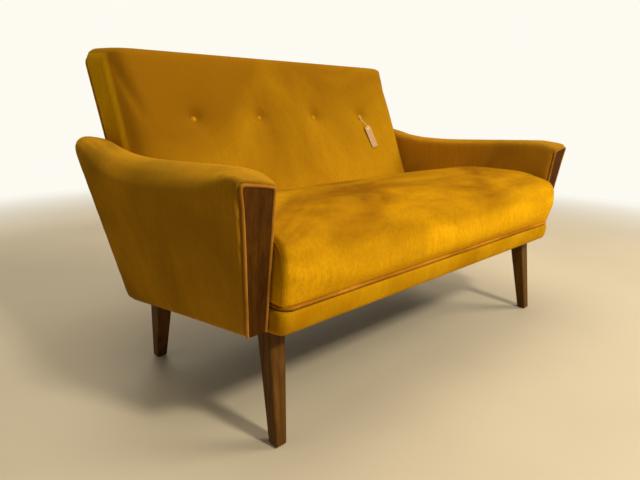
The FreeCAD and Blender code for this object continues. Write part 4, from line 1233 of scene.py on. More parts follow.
@dataclass
class Seat:
    """The sprung seat: its cushion, the piping under it and the padded border.

    A pair of numbers is a place in the side view, as y and z. The seam's places have their y
    from the front feet on.
    """

    # The cushion, from its lip over the crown to the back.
    half: float = 0.530
    cushion_half: float = 0.5315
    foremost: float = FOOT_Y - 0.06
    low: float = 0.2915
    bulge: Spot = (FOOT_Y - 0.055, 0.350)
    shoulder: Spot = (FOOT_Y - 0.052, 0.420)
    shoulder_radius: float = 0.045
    crown: float = 0.445
    crown_front: float = FOOT_Y + 0.050
    crown_front_radius: float = 0.110
    crown_rear: float = FOOT_Y + 0.175
    crown_rear_radius: float = 0.150
    rear_height: float = 0.386
    lip_set_back: float = 0.0015
    end_radius: float = 0.017
    end_bulge: float = 0.006
    bulge_depth: float = 0.030
    bulge_length: float = 0.05
    grain: float = 0.007
    # How its cover swells, and how far in from its edges it is sewn down.
    stuffing: Stuffing = Stuffing(pressure=3.0, reach=0.010)
    sewn_low: float = 0.012
    sewn_rear: float = 0.02
    sewn_end: float = 0.006
    end_grip: float = 0.9
    # The border.
    border_line: SideLine = SideLine(FOOT_Y - 0.035, 0.243, -0.117)
    border_low: float = 0.238
    border_high: float = 0.288
    border_rear: float = FOOT_Y + 0.012
    border_seen: float = FOOT_Y - 0.012
    border_spare: float = 0.004
    border_corner: float = 0.018
    border_low_radius: float = 0.010
    border_high_radius: float = 0.006
    border_overlap: float = 0.0042
    border_swell: float = 0.0035
    border_swell_depth: float = 0.02
    border_grain: float = 0.0045
    # The piping and the seams.
    piping_radius: float = 0.0038
    piping_gap: float = 0.0002
    piping_set_back: float = 0.0015
    piping_room: float = 0.001
    piping_rear: float = FOOT_Y + 0.010
    corner_steps: int = 6
    corner_reach: float = 1.5
    seam_radius: float = 0.0009
    seam_reach: float = 0.012
    seam: tuple[Spot, ...] = (
        (-0.035, 0.296), (-0.040, 0.325), (-0.042, 0.350), (-0.041, 0.378), (-0.034, 0.400),
        (-0.018, 0.416), (0.010, 0.428), (0.055, 0.437), (0.110, 0.441), (0.170, 0.439),
        (0.240, 0.430), (0.320, 0.415), (0.400, 0.399))

    def cut_between(self, piece: bpy.types.Object, first: Spot, second: Spot) -> None:
        """Cuts along the line from one point of the side view to another.

        Args:
            piece: the object to cut.
            first: one point; what lies on the right of the way from it goes.
            second: the other point.
        """
        away = Vector((0.0, second[1] - first[1], first[0] - second[0]))
        slice_off(piece, (0.0, *first), away)

    def bulged(self, at: Vector) -> Vector:
        """Widens the cushion's ends where it stands out in front of the arms.

        Args:
            at: a point of the cushion.

        Returns:
            Its new place.
        """
        ahead = clamped((FRONT.at(at.z) - at.y) / self.bulge_depth)
        rise = clamped((at.z - self.low) / (self.crown - self.low))
        near_end = clamped((abs(at.x) - self.cushion_half + self.bulge_length)
                           / self.bulge_length)
        wider = self.end_bulge * ahead * near_end ** 2 * math.sin(math.pi * rise)
        return at + Vector((math.copysign(wider, at.x), 0.0, 0.0))

    def cushion(self) -> bpy.types.Object:
        """The crowned cushion with its rolled front.

        Returns:
            The cushion.
        """
        piece = block("seat_cushion", (-self.cushion_half, self.foremost, self.low),
                      (self.cushion_half, FACE.at(self.rear_height) + SPARE, self.crown))
        lip = (self.border_line.at(self.low) + self.lip_set_back, self.low)
        front = (self.crown_front, self.crown)
        back = (self.crown_rear, self.crown)
        rear = (FACE.at(self.rear_height), self.rear_height)
        for first, second in ((self.bulge, lip), (self.shoulder, self.bulge),
                              (front, self.shoulder), (rear, back)):
            self.cut_between(piece, first, second)
        slice_off(piece, (0.0, *rear), FACE.normal())
        for spot, radius, steps in ((self.shoulder, self.shoulder_radius, 8),
                                    (front, self.crown_front_radius, 5),
                                    (back, self.crown_rear_radius, 5)):
            round_off(piece, across_at(spot), radius, steps)
        round_off(piece, lambda middle, way: abs(middle.x) > self.cushion_half - TOUCH
                  and middle.z > self.low + NEAR and middle.y < FACE.at(middle.z) - NEAR,
                  self.end_radius, 5)
        even_mesh(piece, self.grain)
        relax(piece, 6)
        reshape(piece, self.bulged)
        return piece

    def held(self, at: Vector) -> float:
        """How firmly the cushion's cover is held: it is sewn down at the piping and the back.

        Args:
            at: a point of the cover.

        Returns:
            The hold, from 0 for loose to 1 for fast.
        """
        if at.z < self.low + self.sewn_low or at.y > FACE.at(at.z) - self.sewn_rear:
            return 1.0
        return self.end_grip if abs(at.x) > self.cushion_half - self.sewn_end else 0.0

    def swollen(self, at: Vector) -> Vector:
        """Puffs the border's front out between its two edges.

        Args:
            at: a point of the border.

        Returns:
            Its new place.
        """
        rise = clamped((at.z - self.border_low) / (self.border_high - self.border_low))
        ahead = clamped((FOOT_Y - at.y) / self.border_swell_depth)
        puff = self.border_swell * ahead * math.sin(math.pi * rise)
        return at - Vector((0.0, puff, 0.0))

    def border(self) -> bpy.types.Object:
        """The padded band under the cushion, rounded where it turns back at its ends.

        Returns:
            The border.
        """
        front = self.border_line.at(self.border_high)
        half = self.half + self.border_overlap
        piece = block("seat_border", (-half, front - self.border_spare, self.border_low),
                      (half, self.border_rear, self.border_high))
        slice_off(piece, (0.0, front, self.border_high),
                  Vector((0.0, -1.0, self.border_line.lean)))
        round_off(piece, lambda middle, way: abs(way.z) > ALONG
                  and middle.y < self.border_seen, self.border_corner, 8)
        round_off(piece, lambda middle, way: abs(way.z) < ALONG
                  and middle.z < self.border_low + TOUCH and middle.y < self.border_seen,
                  self.border_low_radius, 5)
        round_off(piece, lambda middle, way: abs(way.z) < ALONG
                  and middle.z > self.border_high - TOUCH and middle.y < self.border_seen,
                  self.border_high_radius, 4)
        even_mesh(piece, self.border_grain)
        relax(piece, 4)
        reshape(piece, self.swollen)
        return piece

    def piping(self) -> bpy.types.Object:
        """The piping between the cushion and the border.

        Returns:
            The piping.
        """
        x = self.half - self.piping_radius
        z = self.border_high + self.piping_radius + self.piping_gap
        front = self.border_line.at(z) + self.piping_set_back
        corner = self.border_corner + self.piping_room
        rear = self.piping_rear
        half_route = [(x, rear, z), (x, (rear + front + corner) / 2, z)]
        for step in range(self.corner_steps + 1):
            turn = math.pi / 2 * step / self.corner_steps
            half_route.append((x - corner * (1 - math.cos(turn)),
                               front + corner * (1 - math.sin(turn)), z))
        half_route.append((x - corner * self.corner_reach, front, z))
        route = half_route + [(-a, b, c) for a, b, c in reversed(half_route)]
        return piping_cord("seat_piping", route, self.piping_radius)

    def end_seams(self, cushion: bpy.types.Object) -> bpy.types.Object:
        """The seams that join the cushion's boxed ends to its front and crown.

        Args:
            cushion: the finished cushion that the seams lie on.

        Returns:
            Both seams as one piece.
        """
        seams = []
        for side in Side:
            route = []
            for depth, z in self.seam:
                near = Vector((side.value * (self.half + self.seam_reach), FOOT_Y + depth, z))
                _, spot, _, _ = cushion.closest_point_on_mesh(near)
                route.append(spot)
            seams.append(as_mesh(cord_tube(f"end_seam_{side.word}", route, self.seam_radius)))
        whole = joined("seat_end_seams", seams)
        smooth_shaded(whole)
        return whole

    def build(self, finishes: Finishes) -> None:
        """Makes and dresses the seat's pieces.

        Args:
            finishes: the sofa's materials.
        """
        cushion = self.cushion()
        swell(cushion, self.stuffing, self.held)
        relax(cushion, 2)
        smooth_shaded(cushion)
        wrap_up(cushion, "sofa", "velvet", finishes.seat_velvet, "seat_cover", "seat_foam")
        border = self.border()
        smooth_shaded(border)
        wrap_up(border, "sofa", "velvet", finishes.border_velvet, "front_border")
        wrap_up(self.piping(), "sofa", "velvet", finishes.velvet, "seat_welt")
        wrap_up(self.end_seams(cushion), "sofa", "velvet", finishes.seam_velvet)


# ---------------------------------------------------------------- arms

@dataclass
class Arm:
    """One padded arm: the soft roll of its cover and the piping round its wooden facing.

    The crest's places are y from the front feet on and z. The facing's outline gives x and z of
    its edge and then which way, and how many gaps far, the piping's middle lies from there.
    """

    side: Side
    # The sides and the crest.
    inner_x: float = 0.532
    base_outer_x: float = 0.582
    flare: float = 0.104
    crest: tuple[Spot, ...] = (
        (-0.035, 0.533), (-0.005, 0.541), (0.025, 0.5445), (0.120, 0.5415), (0.220, 0.536),
        (0.320, 0.5315), (0.400, 0.530), (0.480, 0.5335), (0.550, 0.543), (0.610, 0.5545),
        (0.655, 0.560), (0.720, 0.5605))
    crest_fall: float = 0.016
    crest_x: float = 0.622
    # How the block that is bent to them is divided.
    stations: int = 26
    first_height: float = 0.54
    settling: int = 12
    # The cover's roundings, and where they are.
    cover_set_back: float = 0.005
    roll_from: float = 0.49
    roll_outside: float = 0.58
    roll_inside: float = 0.54
    roll_radius: float = 0.036
    inner_radius: float = 0.011
    front_radius: float = 0.004
    rear_radius: float = 0.010
    rear_from: float = 0.01
    base_radius: float = 0.006
    # The front end, drawn over the facing.
    lip: float = 0.007
    lip_length: float = 0.075
    lip_forward: float = 0.008
    lip_height: float = 0.010
    lip_rim: float = 0.003
    lip_depth: float = 0.016
    end_tightness: float = 4.0
    end_depth: float = 0.042
    end_droop: float = 0.0085
    end_length: float = 0.020
    grain: float = 0.005
    # How the cover swells, and how far in from its edges it is held.
    stuffing: Stuffing = Stuffing(pressure=3.0, reach=0.006)
    sewn_base: float = 0.02
    sewn_front: float = 0.022
    sewn_inside: float = 0.012
    sewn_rear: float = 0.070
    # The piping round the facing.
    piping_radius: float = 0.0030
    piping_gap: float = 0.0003
    piping_set_back: float = 0.0015
    facing: tuple[tuple[float, float, float, float], ...] = (
        (0.543, 0.2442, -1.0, 0.0), (0.543, 0.330, -1.0, 0.0), (0.543, 0.420, -1.0, 0.0),
        (0.543, 0.490, -1.0, 0.0), (0.543, 0.503, -1.0, 0.5), (0.543, 0.503, -0.2, 1.0),
        (0.556, 0.5065, 0.0, 1.0), (0.588, 0.5110, 0.0, 1.0), (0.601, 0.5130, 0.0, 1.0),
        (0.604, 0.5120, 0.8, 0.3), (0.6015, 0.500, 1.0, 0.0), (0.596, 0.470, 1.0, 0.0),
        (0.586, 0.360, 1.0, 0.0), (0.576, 0.2442, 1.0, 0.0))

    @property
    def front(self) -> SideLine:
        """The line that the cover's front end follows."""
        return FRONT.moved(self.cover_set_back)

    def crest_at(self, y: float, x: float) -> float:
        """The height of the crest, on a smooth curve through its places.

        Args:
            y: the depth.
            x: the distance from the middle of the sofa.

        Returns:
            The height there.
        """
        points = self.crest
        depth = min(max(y - FOOT_Y, points[0][0]), points[-1][0])
        number = 0
        while depth > points[number + 1][0]:
            number += 1
        (start, low), (end, high) = points[number], points[number + 1]
        before = points[max(number - 1, 0)]
        after = points[min(number + 2, len(points) - 1)]
        share = (depth - start) / (end - start)
        slope_in = (high - before[1]) / (end - before[0]) * (end - start)
        slope_out = (after[1] - low) / (after[0] - start) * (end - start)
        height = (low * (2 * share ** 3 - 3 * share ** 2 + 1)
                  + slope_in * (share ** 3 - 2 * share ** 2 + share)
                  + high * (3 * share ** 2 - 2 * share ** 3)
                  + slope_out * (share ** 3 - share ** 2))
        droop = self.end_droop * math.exp(-((depth - points[0][0]) / self.end_length) ** 2)
        across = (self.crest_x - x) / (self.crest_x - self.inner_x)
        return height - (droop + self.crest_fall) * across

    def outer_x(self, y: float, z: float) -> float:
        """The outer side's distance from the middle of the sofa.

        Args:
            y: the depth.
            z: the height.

        Returns:
            The distance, which grows a little towards the top of the front end.
        """
        rise = (z - BASE.z) / (self.crest_at(FOOT_Y, self.crest_x) - BASE.z)
        near_front = math.exp(-((y - FRONT.at(z)) / self.lip_length) ** 2)
        return (self.base_outer_x + self.flare * (z - BASE.z)
                + self.lip * near_front * max(0.0, rise) ** 2)

    def placed(self, at: Vector) -> Vector:
        """Bends a unit block to the arm's lines.

        Args:
            at: a point of the block.

        Returns:
            Its place on the arm.
        """
        inside, on_top = at.x < 0.5, at.z > 0.5
        z = self.first_height
        for _ in range(self.settling):
            y = self.front.at(z) + at.y * (REAR.at(z) - self.front.at(z))
            x = self.inner_x if inside else self.crest_x
            z = self.crest_at(y, x) if on_top else BASE.at(y)
        y = self.front.at(z) + at.y * (REAR.at(z) - self.front.at(z))
        return Vector((self.inner_x if inside else self.outer_x(y, z), y, z))

    def drawn_over(self, at: Vector) -> Vector:
        """Draws the roll out to a tighter edge at the front, where it goes over the facing.

        Args:
            at: a point of the cover.

        Returns:
            Its new place.
        """
        out = at.x - self.outer_x(at.y, at.z) + self.roll_radius
        up = at.z - self.crest_at(at.y, at.x) + self.roll_radius
        if out <= 0.0 or up <= 0.0:
            return at
        behind = at.y - self.front.at(at.z)
        power = 2.0 + self.end_tightness * math.exp(-(behind / self.end_depth) ** 2)
        longer = math.hypot(out, up) / (out ** power + up ** power) ** (1.0 / power)
        return at + Vector((out, 0.0, up)) * (longer - 1.0)

    def lipped(self, at: Vector) -> Vector:
        """Pulls the upper rim of the front end forward, over the facing's top.

        Args:
            at: a point of the cover.

        Returns:
            Its new place.
        """
        below = self.crest_at(at.y, at.x) - at.z
        rim = clamped(1.0 - (below - self.lip_rim) / self.lip_height)
        near = math.exp(-((at.y - self.front.at(at.z)) / self.lip_depth) ** 2)
        return at - Vector((0.0, self.lip_forward * rim * near, 0.0))

    def cover(self) -> bpy.types.Object:
        """The right-hand arm's cover, as an evenly meshed closed form.

        Returns:
            The cover.
        """
        piece = block("arm_upholstery", (0.0, 0.0, 0.0), (1.0, 1.0, 1.0))
        for station in range(1, self.stations):
            score(piece, (0.0, station / self.stations, 0.0), Vector((0.0, 1.0, 0.0)))
        reshape(piece, self.placed)
        round_off(piece, lambda middle, way: abs(way.y) > ALONG
                  and middle.z > self.roll_from and middle.x > self.roll_outside,
                  self.roll_radius, 10)
        round_off(piece, lambda middle, way: abs(way.y) > ALONG
                  and middle.z > self.roll_from and middle.x < self.roll_inside,
                  self.inner_radius, 5)
        round_off(piece, lambda middle, way: abs(way.z) > ALONG
                  and middle.x < self.roll_inside
                  and abs(middle.y - self.front.at(middle.z)) < NEAR, self.front_radius, 3)
        round_off(piece, lambda middle, way: abs(way.y) < ALONG
                  and middle.z > BASE.at(middle.y) + self.rear_from
                  and abs(middle.y - REAR.at(middle.z)) < NEAR, self.rear_radius, 5)
        round_off(piece, lambda middle, way: abs(way.y) > ALONG
                  and abs(middle.z - BASE.at(middle.y)) < NEAR, self.base_radius, 4)
        even_mesh(piece, self.grain)
        relax(piece, 7)
        reshape(piece, self.drawn_over)
        reshape(piece, self.lipped)
        return piece

    def held(self, at: Vector) -> float:
        """How firmly the cover is held: at its base and front end, and less inside and behind.

        Args:
            at: a point of the cover.

        Returns:
            The hold, from 0 for loose to 1 for fast.
        """
        if at.z < BASE.at(at.y) + self.sewn_base or at.y < FRONT.at(at.z) + self.sewn_front:
            return 1.0
        near_rear = 1.0 - (REAR.at(at.z) - at.y) / self.sewn_rear
        near_inside = 1.0 - (at.x - self.inner_x) / self.sewn_inside
        return clamped(max(near_rear, near_inside))

    def facing_piping(self) -> bpy.types.Object:
        """The piping round the inner side, top and outer side of the right-hand facing.

        Returns:
            The piping.
        """
        gap = self.piping_radius + self.piping_gap
        route = []
        for edge_x, edge_z, aside, up in self.facing:
            z = edge_z + gap * up
            route.append((edge_x + gap * aside, FRONT.at(z) + self.piping_set_back, z))
        return piping_cord("facing_piping", route, self.piping_radius)

    def on_side(self, piece: bpy.types.Object, stem: str) -> bpy.types.Object:
        """Turns a right-hand piece into this side's.

        Args:
            piece: the piece as made for the right.
            stem: its name without the side.

        Returns:
            The piece.
        """
        piece.name = f"{stem}_{self.side.word}"
        if self.side is Side.LEFT:
            piece.data.transform(Matrix.Scale(-1.0, 4, (1.0, 0.0, 0.0)))
            piece.data.flip_normals()
        return piece

    def build(self, finishes: Finishes) -> None:
        """Makes and dresses the arm's pieces.

        Args:
            finishes: the sofa's materials.
        """
        cover = self.cover()
        swell(cover, self.stuffing, self.held)
        relax(cover, 2)
        smooth_shaded(cover)
        self.on_side(cover, "arm_upholstery")
        wrap_up(cover, "sofa", "velvet", finishes.arm_velvet, f"arm_cover_{self.side.word}",
                f"arm_pad_{self.side.word}")
        piping = self.on_side(self.facing_piping(), "facing_piping")
        wrap_up(piping, "sofa", "velvet", finishes.facing_piping_velvet,
                f"facing_welt_{self.side.word}")


# ---------------------------------------------------------------- back

@dataclass
class Back:
    """The buttoned back: its padded front and its buttons.

    The crease's ends are given as the distances from the side and from the top.
    """

    # The padded block.
    half: float = 0.525
    lowest: float = 0.20
    low_front: float = 0.2184
    base_fall: float = 0.137
    base_zone: float = 0.02
    top_front: float = 0.7665
    top_rear: float = 0.7745
    top_spare: float = 0.01
    corner: float = 0.040
    corner_from: float = 0.74
    edge: float = 0.018
    rear_radius: float = 0.008
    panel_room: float = 0.0035
    grain: float = 0.007
    # The hollows round the buttons.
    spacing: float = 0.218
    dimple_depth: float = 0.021
    dimple_share: float = 0.55
    dimple_width: float = 0.021
    pull_share: float = 0.45
    pull_width: float = 0.056
    # The soft sides, and the crease in each upper corner.
    side_roll: float = 0.052
    side_softness: float = 0.085
    side_fall: float = 0.012
    crease_top: tuple[float, float] = (0.012, 0.040)
    crease_foot: tuple[float, float] = (0.075, 0.225)
    crease_depth: float = 0.006
    crease_width: float = 0.013
    crease_tail: float = 0.18
    crease_tail_depth: float = 0.3
    # How proud the swelled face may stand, and how deep the pressing goes.
    most_proud: float = 0.0012
    face_depth: float = 0.06
    # How the cover swells, and where it is held.
    stuffing: Stuffing = Stuffing(pressure=2.0, reach=0.006)
    sewn_rear: float = 0.03
    sewn_below: float = 0.30
    sewn_top: float = 0.020
    sewn_side: float = 0.016
    # The buttons.
    button_radius: float = 0.0105
    button_rise: float = -0.0010
    button_crown: float = 0.62
    button_base: float = 0.25

    def button_places(self) -> list[float]:
        """The buttons' places across the back."""
        return [self.spacing * step for step in (-1.5, -0.5, 0.5, 1.5)]

    def out(self) -> Vector:
        """The direction that the face looks in."""
        return -FACE.normal()

    def pull(self, at: Vector) -> float:
        """How deep the buttons pull the face in.

        Args:
            at: a point of the padded back.

        Returns:
            The depth.
        """
        depth = 0.0
        for x in self.button_places():
            away = (at - Vector((x, FACE.at(FACE.z), FACE.z))).length
            for share, width in ((self.dimple_share, self.dimple_width),
                                 (self.pull_share, self.pull_width)):
                depth += self.dimple_depth * share * math.exp(-(away / width) ** 2)
        return depth

    def rolled(self, at: Vector) -> Vector:
        """Rolls a point near the face's side edges on to a round edge.

        Args:
            at: a point of the padded back.

        Returns:
            Its place on the rolled edge, or the same point away from it.
        """
        inward = FACE.normal()
        radius = self.side_roll
        from_side = radius - (self.half - abs(at.x))
        from_face = radius - (at - Vector((at.x, FACE.y, FACE.z))).dot(inward)
        distance = math.hypot(from_side, from_face)
        if from_side <= 0 or from_face <= 0 or distance <= radius:
            return at
        spare = 1.0 - radius / distance
        return (at - Vector((math.copysign(from_side * spare, at.x), 0.0, 0.0))
                + inward * from_face * spare)

    def side_droop(self, at: Vector) -> float:
        """How far the face falls back towards its side edges, where the padding thins out."""
        inside = self.half - self.side_softness
        return self.side_fall * max(0.0, (abs(at.x) - inside) / self.side_softness) ** 2

    def crease(self, at: Vector) -> float:
        """How deep the slanting crease near an upper corner is.

        Args:
            at: a point of the padded back.

        Returns:
            The depth, which fades along the crease and thins out into a tail at its foot.
        """
        top, foot = (Vector((self.half - aside, 0.0, self.top_front - below))
                     for aside, below in (self.crease_top, self.crease_foot))
        spot = Vector((abs(at.x), 0.0, at.z))
        way = foot - top
        share = clamped((spot - top).dot(way) / way.length_squared)
        away = (spot - top - way * share).length
        if share < 1.0 - self.crease_tail:
            fade = math.sin(math.pi * (share + self.crease_tail))
        else:
            left = math.pi * (1.0 - share) / (2 * self.crease_tail) * 0.5
            fade = math.sin(left) ** 2 * self.crease_tail_depth
        return self.crease_depth * max(0.0, fade) * math.exp(-(away / self.crease_width) ** 2)

    def cushion(self) -> bpy.types.Object:
        """The padded back before the buttons pull it in.

        Returns:
            The cushion.
        """
        piece = block("back_cushion",
                      (-self.half, FACE.at(self.low_front) - SPARE, self.lowest),
                      (self.half, REAR.at(self.top_rear) + SPARE,
                       self.top_front + self.top_spare))
        depth = REAR.at(self.top_rear) - FACE.at(self.top_front)
        fall = (self.top_front - self.top_rear) / depth
        slice_off(piece, (0.0, FACE.at(self.top_front), self.top_front),
                  Vector((0.0, fall, 1.0)))
        slice_off(piece, (0.0, FACE.y, FACE.z), self.out())
        slice_off(piece, (0.0, REAR.y - self.panel_room, REAR.z), REAR.normal())
        slice_off(piece, (0.0, FACE.at(self.low_front), self.low_front),
                  Vector((0.0, -self.base_fall, -1.0)))
        round_off(piece, lambda middle, way: abs(way.y) > ALONG
                  and middle.z > self.corner_from and abs(middle.x) > self.half - NEAR,
                  self.corner, 8)
        round_off(piece, lambda middle, way: abs(middle.y - FACE.at(middle.z)) < TOUCH
                  and middle.z > self.low_front + self.base_zone, self.edge, 6)
        round_off(piece, lambda middle, way: middle.z > self.lowest
                  and abs(middle.y - REAR.at(middle.z) + self.panel_room) < TOUCH,
                  self.rear_radius, 4)
        even_mesh(piece, self.grain)
        relax(piece, 3)
        return piece

    def pressed(self, at: Vector) -> Vector:
        """Presses a proud point back to the face, rolls the edges and pulls the buttons in.

        Args:
            at: a point of the padded back.

        Returns:
            Its new place.
        """
        inward = FACE.normal()
        proud = (Vector((at.x, FACE.y, FACE.z)) - at).dot(inward)
        if proud > 0.0:
            kept = self.most_proud * (1.0 - math.exp(-proud / self.most_proud))
            at = at + inward * (proud - kept)
        near_face = max(0.0, 1.0 - abs(at.y - FACE.at(at.z)) / self.face_depth)
        deep = self.pull(at) + self.side_droop(at) + self.crease(at)
        return self.rolled(at) + inward * deep * near_face

    def held(self, at: Vector) -> float:
        """How firmly the back's cover is held: everywhere but on its face.

        Args:
            at: a point of the cover.

        Returns:
            1 where it is held and 0 on the face.
        """
        fast = (at.y > REAR.at(at.z) - self.sewn_rear or at.z < self.sewn_below
                or at.z > self.top_front - self.sewn_top
                or abs(at.x) > self.half - self.sewn_side)
        return 1.0 if fast else 0.0

    def buttons(self, finishes: Finishes) -> None:
        """Makes the four covered buttons as one piece.

        Args:
            finishes: the sofa's materials.
        """
        crown, base = self.button_crown, self.button_base
        turn = self.out().to_track_quat("Z", "Y").to_matrix().to_4x4()
        made = []
        for number, x in enumerate(self.button_places(), start=1):
            nothing_selected()
            bpy.ops.mesh.primitive_uv_sphere_add(segments=28, ring_count=16,
                                                 radius=self.button_radius)
            button = bpy.context.object
            reshape(button, lambda at: Vector((at.x, at.y, at.z * (crown if at.z > 0 else base))))
            seat = (Vector((x, FACE.at(FACE.z), FACE.z))
                    - self.out() * (self.dimple_depth - self.button_rise))
            button.data.transform(Matrix.Translation(seat) @ turn)
            button.name = f"button_{number}"
            made.append(button)
        buttons = joined("covered_buttons", made)
        smooth_shaded(buttons)
        # The buttons take the border's velvet, lighter than the back's: painted light on the
        # buttons.
        wrap_up(buttons, "sofa", "velvet", finishes.border_velvet, "back_buttons")

    def build(self, finishes: Finishes) -> None:
        """Makes and dresses the back's pieces.

        Args:
            finishes: the sofa's materials.
        """
        cushion = self.cushion()
        swell(cushion, self.stuffing, self.held)
        reshape(cushion, self.pressed)
        smooth_shaded(cushion)
        wrap_up(cushion, "sofa", "velvet", finishes.back_velvet, "inside_back_cover", "back_foam",
                "back_top_padding", "back_side_padding_right", "back_side_padding_left")
        self.buttons(finishes)


# ---------------------------------------------------------------- rear and underside

@dataclass
class Linings:
    """What closes the sofa behind and below: the outside back panel and the dust cover."""

    # The outside back panel.
    panel_half: float = 0.5235
    panel_low: float = 0.164
    panel_lift: float = 0.002
    panel_top: float = 0.7585
    panel_corner: float = 0.031
    panel_puff: float = 0.0022
    panel_lap: float = 0.0016
    edge_turn: float = 0.014
    edge_pull: float = 1.6
    ripple: float = 0.0012
    ripples: int = 3
    cloth: float = 0.0010
    # The dust cover.
    dust_half: float = 0.527
    dust_front: float = FOOT_Y - 0.001
    dust_rear: float = REAR.at(0.17) - 0.013
    dust_depth: float = 0.522
    dust_gap: float = 0.0008
    dust_sag: float = 0.004
    dust_cloth: float = 0.0006
    dust_fold: float = math.radians(40)
    wrinkle: float = 0.0006
    wrinkle_waves: tuple[float, float, float] = (46.0, 9.0, 5.0)
    # The leg plates that it is cut out round, as x and y.
    plates: tuple[tuple[float, float], ...] = (
        (0.500, FOOT_Y + 0.037), (0.513, FOOT_Y + 0.459))
    plate_half: float = 0.0325
    # Its staples.
    staple_pitch: float = 0.055
    staple_width: float = 0.010
    staple_wire: float = 0.0009
    staple_round: float = 0.45
    staple_inset: float = 0.009
    staple_side_inset: float = 0.010
    staple_clearance: float = 0.008
    staple_seat: float = 0.0012

    def sheet_grid(self, name: str, across: int, along: int) -> bpy.types.Object:
        """A flat sheet of one unit each way, from -0.5 to 0.5, with an even mesh.

        Args:
            name: the sheet's name.
            across: how many squares it has across.
            along: how many it has along.

        Returns:
            The sheet.
        """
        nothing_selected()
        bpy.ops.mesh.primitive_grid_add(x_subdivisions=across, y_subdivisions=along, size=1.0)
        sheet = bpy.context.object
        sheet.name = name
        return sheet

    @property
    def panel_foot(self) -> float:
        """The height of the panel's lower edge, just over where base and rear meet."""
        meeting = (BASE.at(0.0) + BASE.rise * REAR.at(0.0)) / (1 - BASE.rise * REAR.lean)
        return meeting + self.panel_lift

    def drawn_tight(self, at: Vector) -> Vector:
        """Lays the flat sheet over the back's frame, with round corners and turned edges.

        Args:
            at: a point of the flat sheet.

        Returns:
            Its place on the panel.
        """
        low = self.panel_foot
        height = self.panel_top - low
        straight = self.panel_half - self.panel_corner
        x, rise = at.x * 2 * self.panel_half, (at.y + 0.5) * height
        past_x = abs(x) - straight
        past_rise = rise - (height - self.panel_corner)
        if past_x > 0 and past_rise > 0:
            share = max(past_x, past_rise) / math.hypot(past_x, past_rise)
            x = math.copysign(straight + past_x * share, x)
            rise = height - self.panel_corner + past_rise * share
        edge = min(self.panel_half - abs(x), rise, height - rise)
        turn = max(0.0, 1.0 - edge / self.edge_turn) ** 2
        puff = self.panel_puff * (1.0 - turn * self.edge_pull)
        puff += (self.ripple * math.sin(self.ripples * math.pi * at.x) ** 2
                 * math.sin(math.pi * rise / height))
        z = low + rise
        return Vector((x, REAR.at(z), z)) + REAR.normal() * (puff - self.panel_lap)

    def back_panel(self) -> bpy.types.Object:
        """The panel of the outside back, drawn tight over the frame and turned in at its edge.

        Returns:
            The panel.
        """
        panel = self.sheet_grid("outside_back_panel", 72, 48)
        reshape(panel, self.drawn_tight)
        apply_modifier(panel, "SOLIDIFY", thickness=self.cloth, offset=-1.0)
        smooth_shaded(panel)
        return panel

    def sagging(self, at: Vector) -> Vector:
        """Hangs the flat sheet under the frame, with a slight sag and wrinkles.

        Args:
            at: a point of the flat sheet.

        Returns:
            Its place under the frame.
        """
        x = at.x * 2 * self.dust_half
        y = self.dust_front + (at.y + 0.5) * (self.dust_rear - self.dust_front)
        sag = math.cos(math.pi * at.x) * math.cos(math.pi * at.y)
        along, swing, across = self.wrinkle_waves
        wrinkle = self.wrinkle * math.sin(along * y + swing * math.sin(across * x)) * sag
        return Vector((x, y, BASE.at(y) - self.dust_gap - self.dust_sag * sag + wrinkle))

    def dust_cover(self) -> bpy.types.Object:
        """The thin black cloth under the frame, cut out round the leg plates.

        Returns:
            The cloth.
        """
        cloth = self.sheet_grid("dust_cloth_under", 40, 20)
        reshape(cloth, self.sagging)
        for x, y in self.plates:
            for side in Side:
                score(cloth, (side.value * (x - self.plate_half), 0.0, 0.0), Vector((1, 0, 0)))
            for edge in (y - self.plate_half, y + self.plate_half):
                score(cloth, (0.0, edge, 0.0), Vector((0, 1, 0)))
        mesh = edit(cloth)
        bpy.ops.mesh.select_mode(type="FACE")
        for face in mesh.faces:
            middle = face.calc_center_median()
            for x, y in self.plates:
                if abs(middle.x) > x - self.plate_half and abs(middle.y - y) < self.plate_half:
                    face.select_set(True)
        bmesh.update_edit_mesh(cloth.data)
        bpy.ops.mesh.delete(type="FACE")
        close_edit()
        apply_modifier(cloth, "SOLIDIFY", thickness=self.dust_cloth, offset=0.0)
        smooth_shaded(cloth, self.dust_fold)
        return cloth

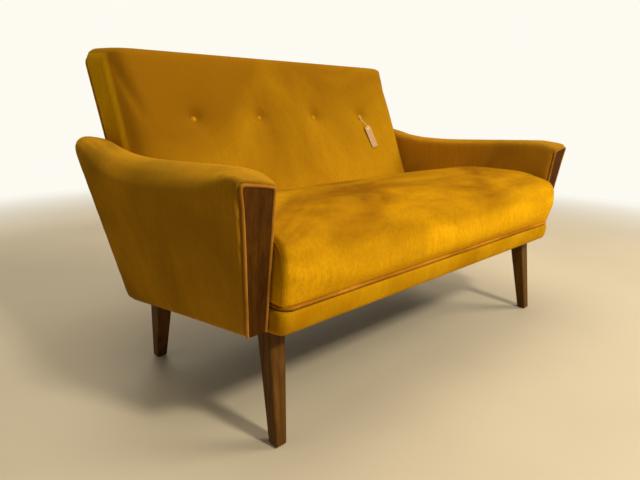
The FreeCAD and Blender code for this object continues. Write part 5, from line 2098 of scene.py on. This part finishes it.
    def staple_places(self) -> list[tuple[float, float, float]]:
        """Where the staples sit.

        Returns:
            The x and y of each and its turn round the upright.
        """
        front = self.dust_front + self.staple_inset
        rear = self.dust_rear - self.staple_inset
        side_x = self.dust_half - self.staple_side_inset
        spots = []
        count = round(2 * side_x / self.staple_pitch)
        for number in range(1, count):
            x = -side_x + 2 * side_x * number / count
            spots += [(x, front, 0.0), (x, rear, 0.0)]
        count = round((rear - front) / self.staple_pitch)
        clearance = self.plate_half + self.staple_clearance
        for number in range(1, count):
            y = front + (rear - front) * number / count
            if all(abs(y - middle) > clearance for _, middle in self.plates):
                spots += [(side_x, y, math.pi / 2), (-side_x, y, math.pi / 2)]
        return spots

    def staples(self) -> bpy.types.Object:
        """The wire staples that hold the dust cover.

        Returns:
            All the staples as one piece.
        """
        wire = self.staple_wire
        bar = block("staple", (-self.staple_width / 2, -wire / 2, -wire),
                    (self.staple_width / 2, wire / 2, 0.0))
        round_off(bar, lambda middle, way: middle.z < -wire / 2, wire * self.staple_round, 2)
        made = []
        for x, y, turn in self.staple_places():
            one = bar.copy()
            one.data = bar.data.copy()
            bpy.context.collection.objects.link(one)
            one.data.transform(Matrix.Translation((x, y, BASE.at(y) - self.staple_seat))
                               @ Matrix.Rotation(turn, 4, "Z"))
            made.append(one)
        bpy.data.objects.remove(bar)
        return joined("dust_cover_staples", made)

    def build(self, finishes: Finishes) -> None:
        """Makes and dresses the panel, the dust cover and its staples.

        Args:
            finishes: the sofa's materials.
        """
        panel = self.back_panel()
        # The back's velvet, with its painted shade along the lean and painted light at the sides.
        wrap_up(panel, "sofa", "velvet", finishes.back_velvet, "outside_back_cover")
        cover = self.dust_cover()
        wrap_up(cover, "sofa", "dust_cloth", finishes.dust_cloth, "dust_cover")
        staples = self.staples()
        wrap_up(staples, "sofa", "steel", finishes.steel)


# ---------------------------------------------------------------- the whole sofa

def main() -> None:
    """Builds the studio and every sub-assembly."""
    logging.basicConfig(level=logging.INFO, format="%(name)s: %(message)s")
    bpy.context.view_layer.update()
    studio = Studio()
    studio.build()
    finishes = Finishes()
    SwingTag().build(finishes)
    finishes.dress_solids()
    Seat().build(finishes)
    for side in Side:
        Arm(side).build(finishes)
    Back().build(finishes)
    Linings().build(finishes)


if __name__ == "__main__":
    main()
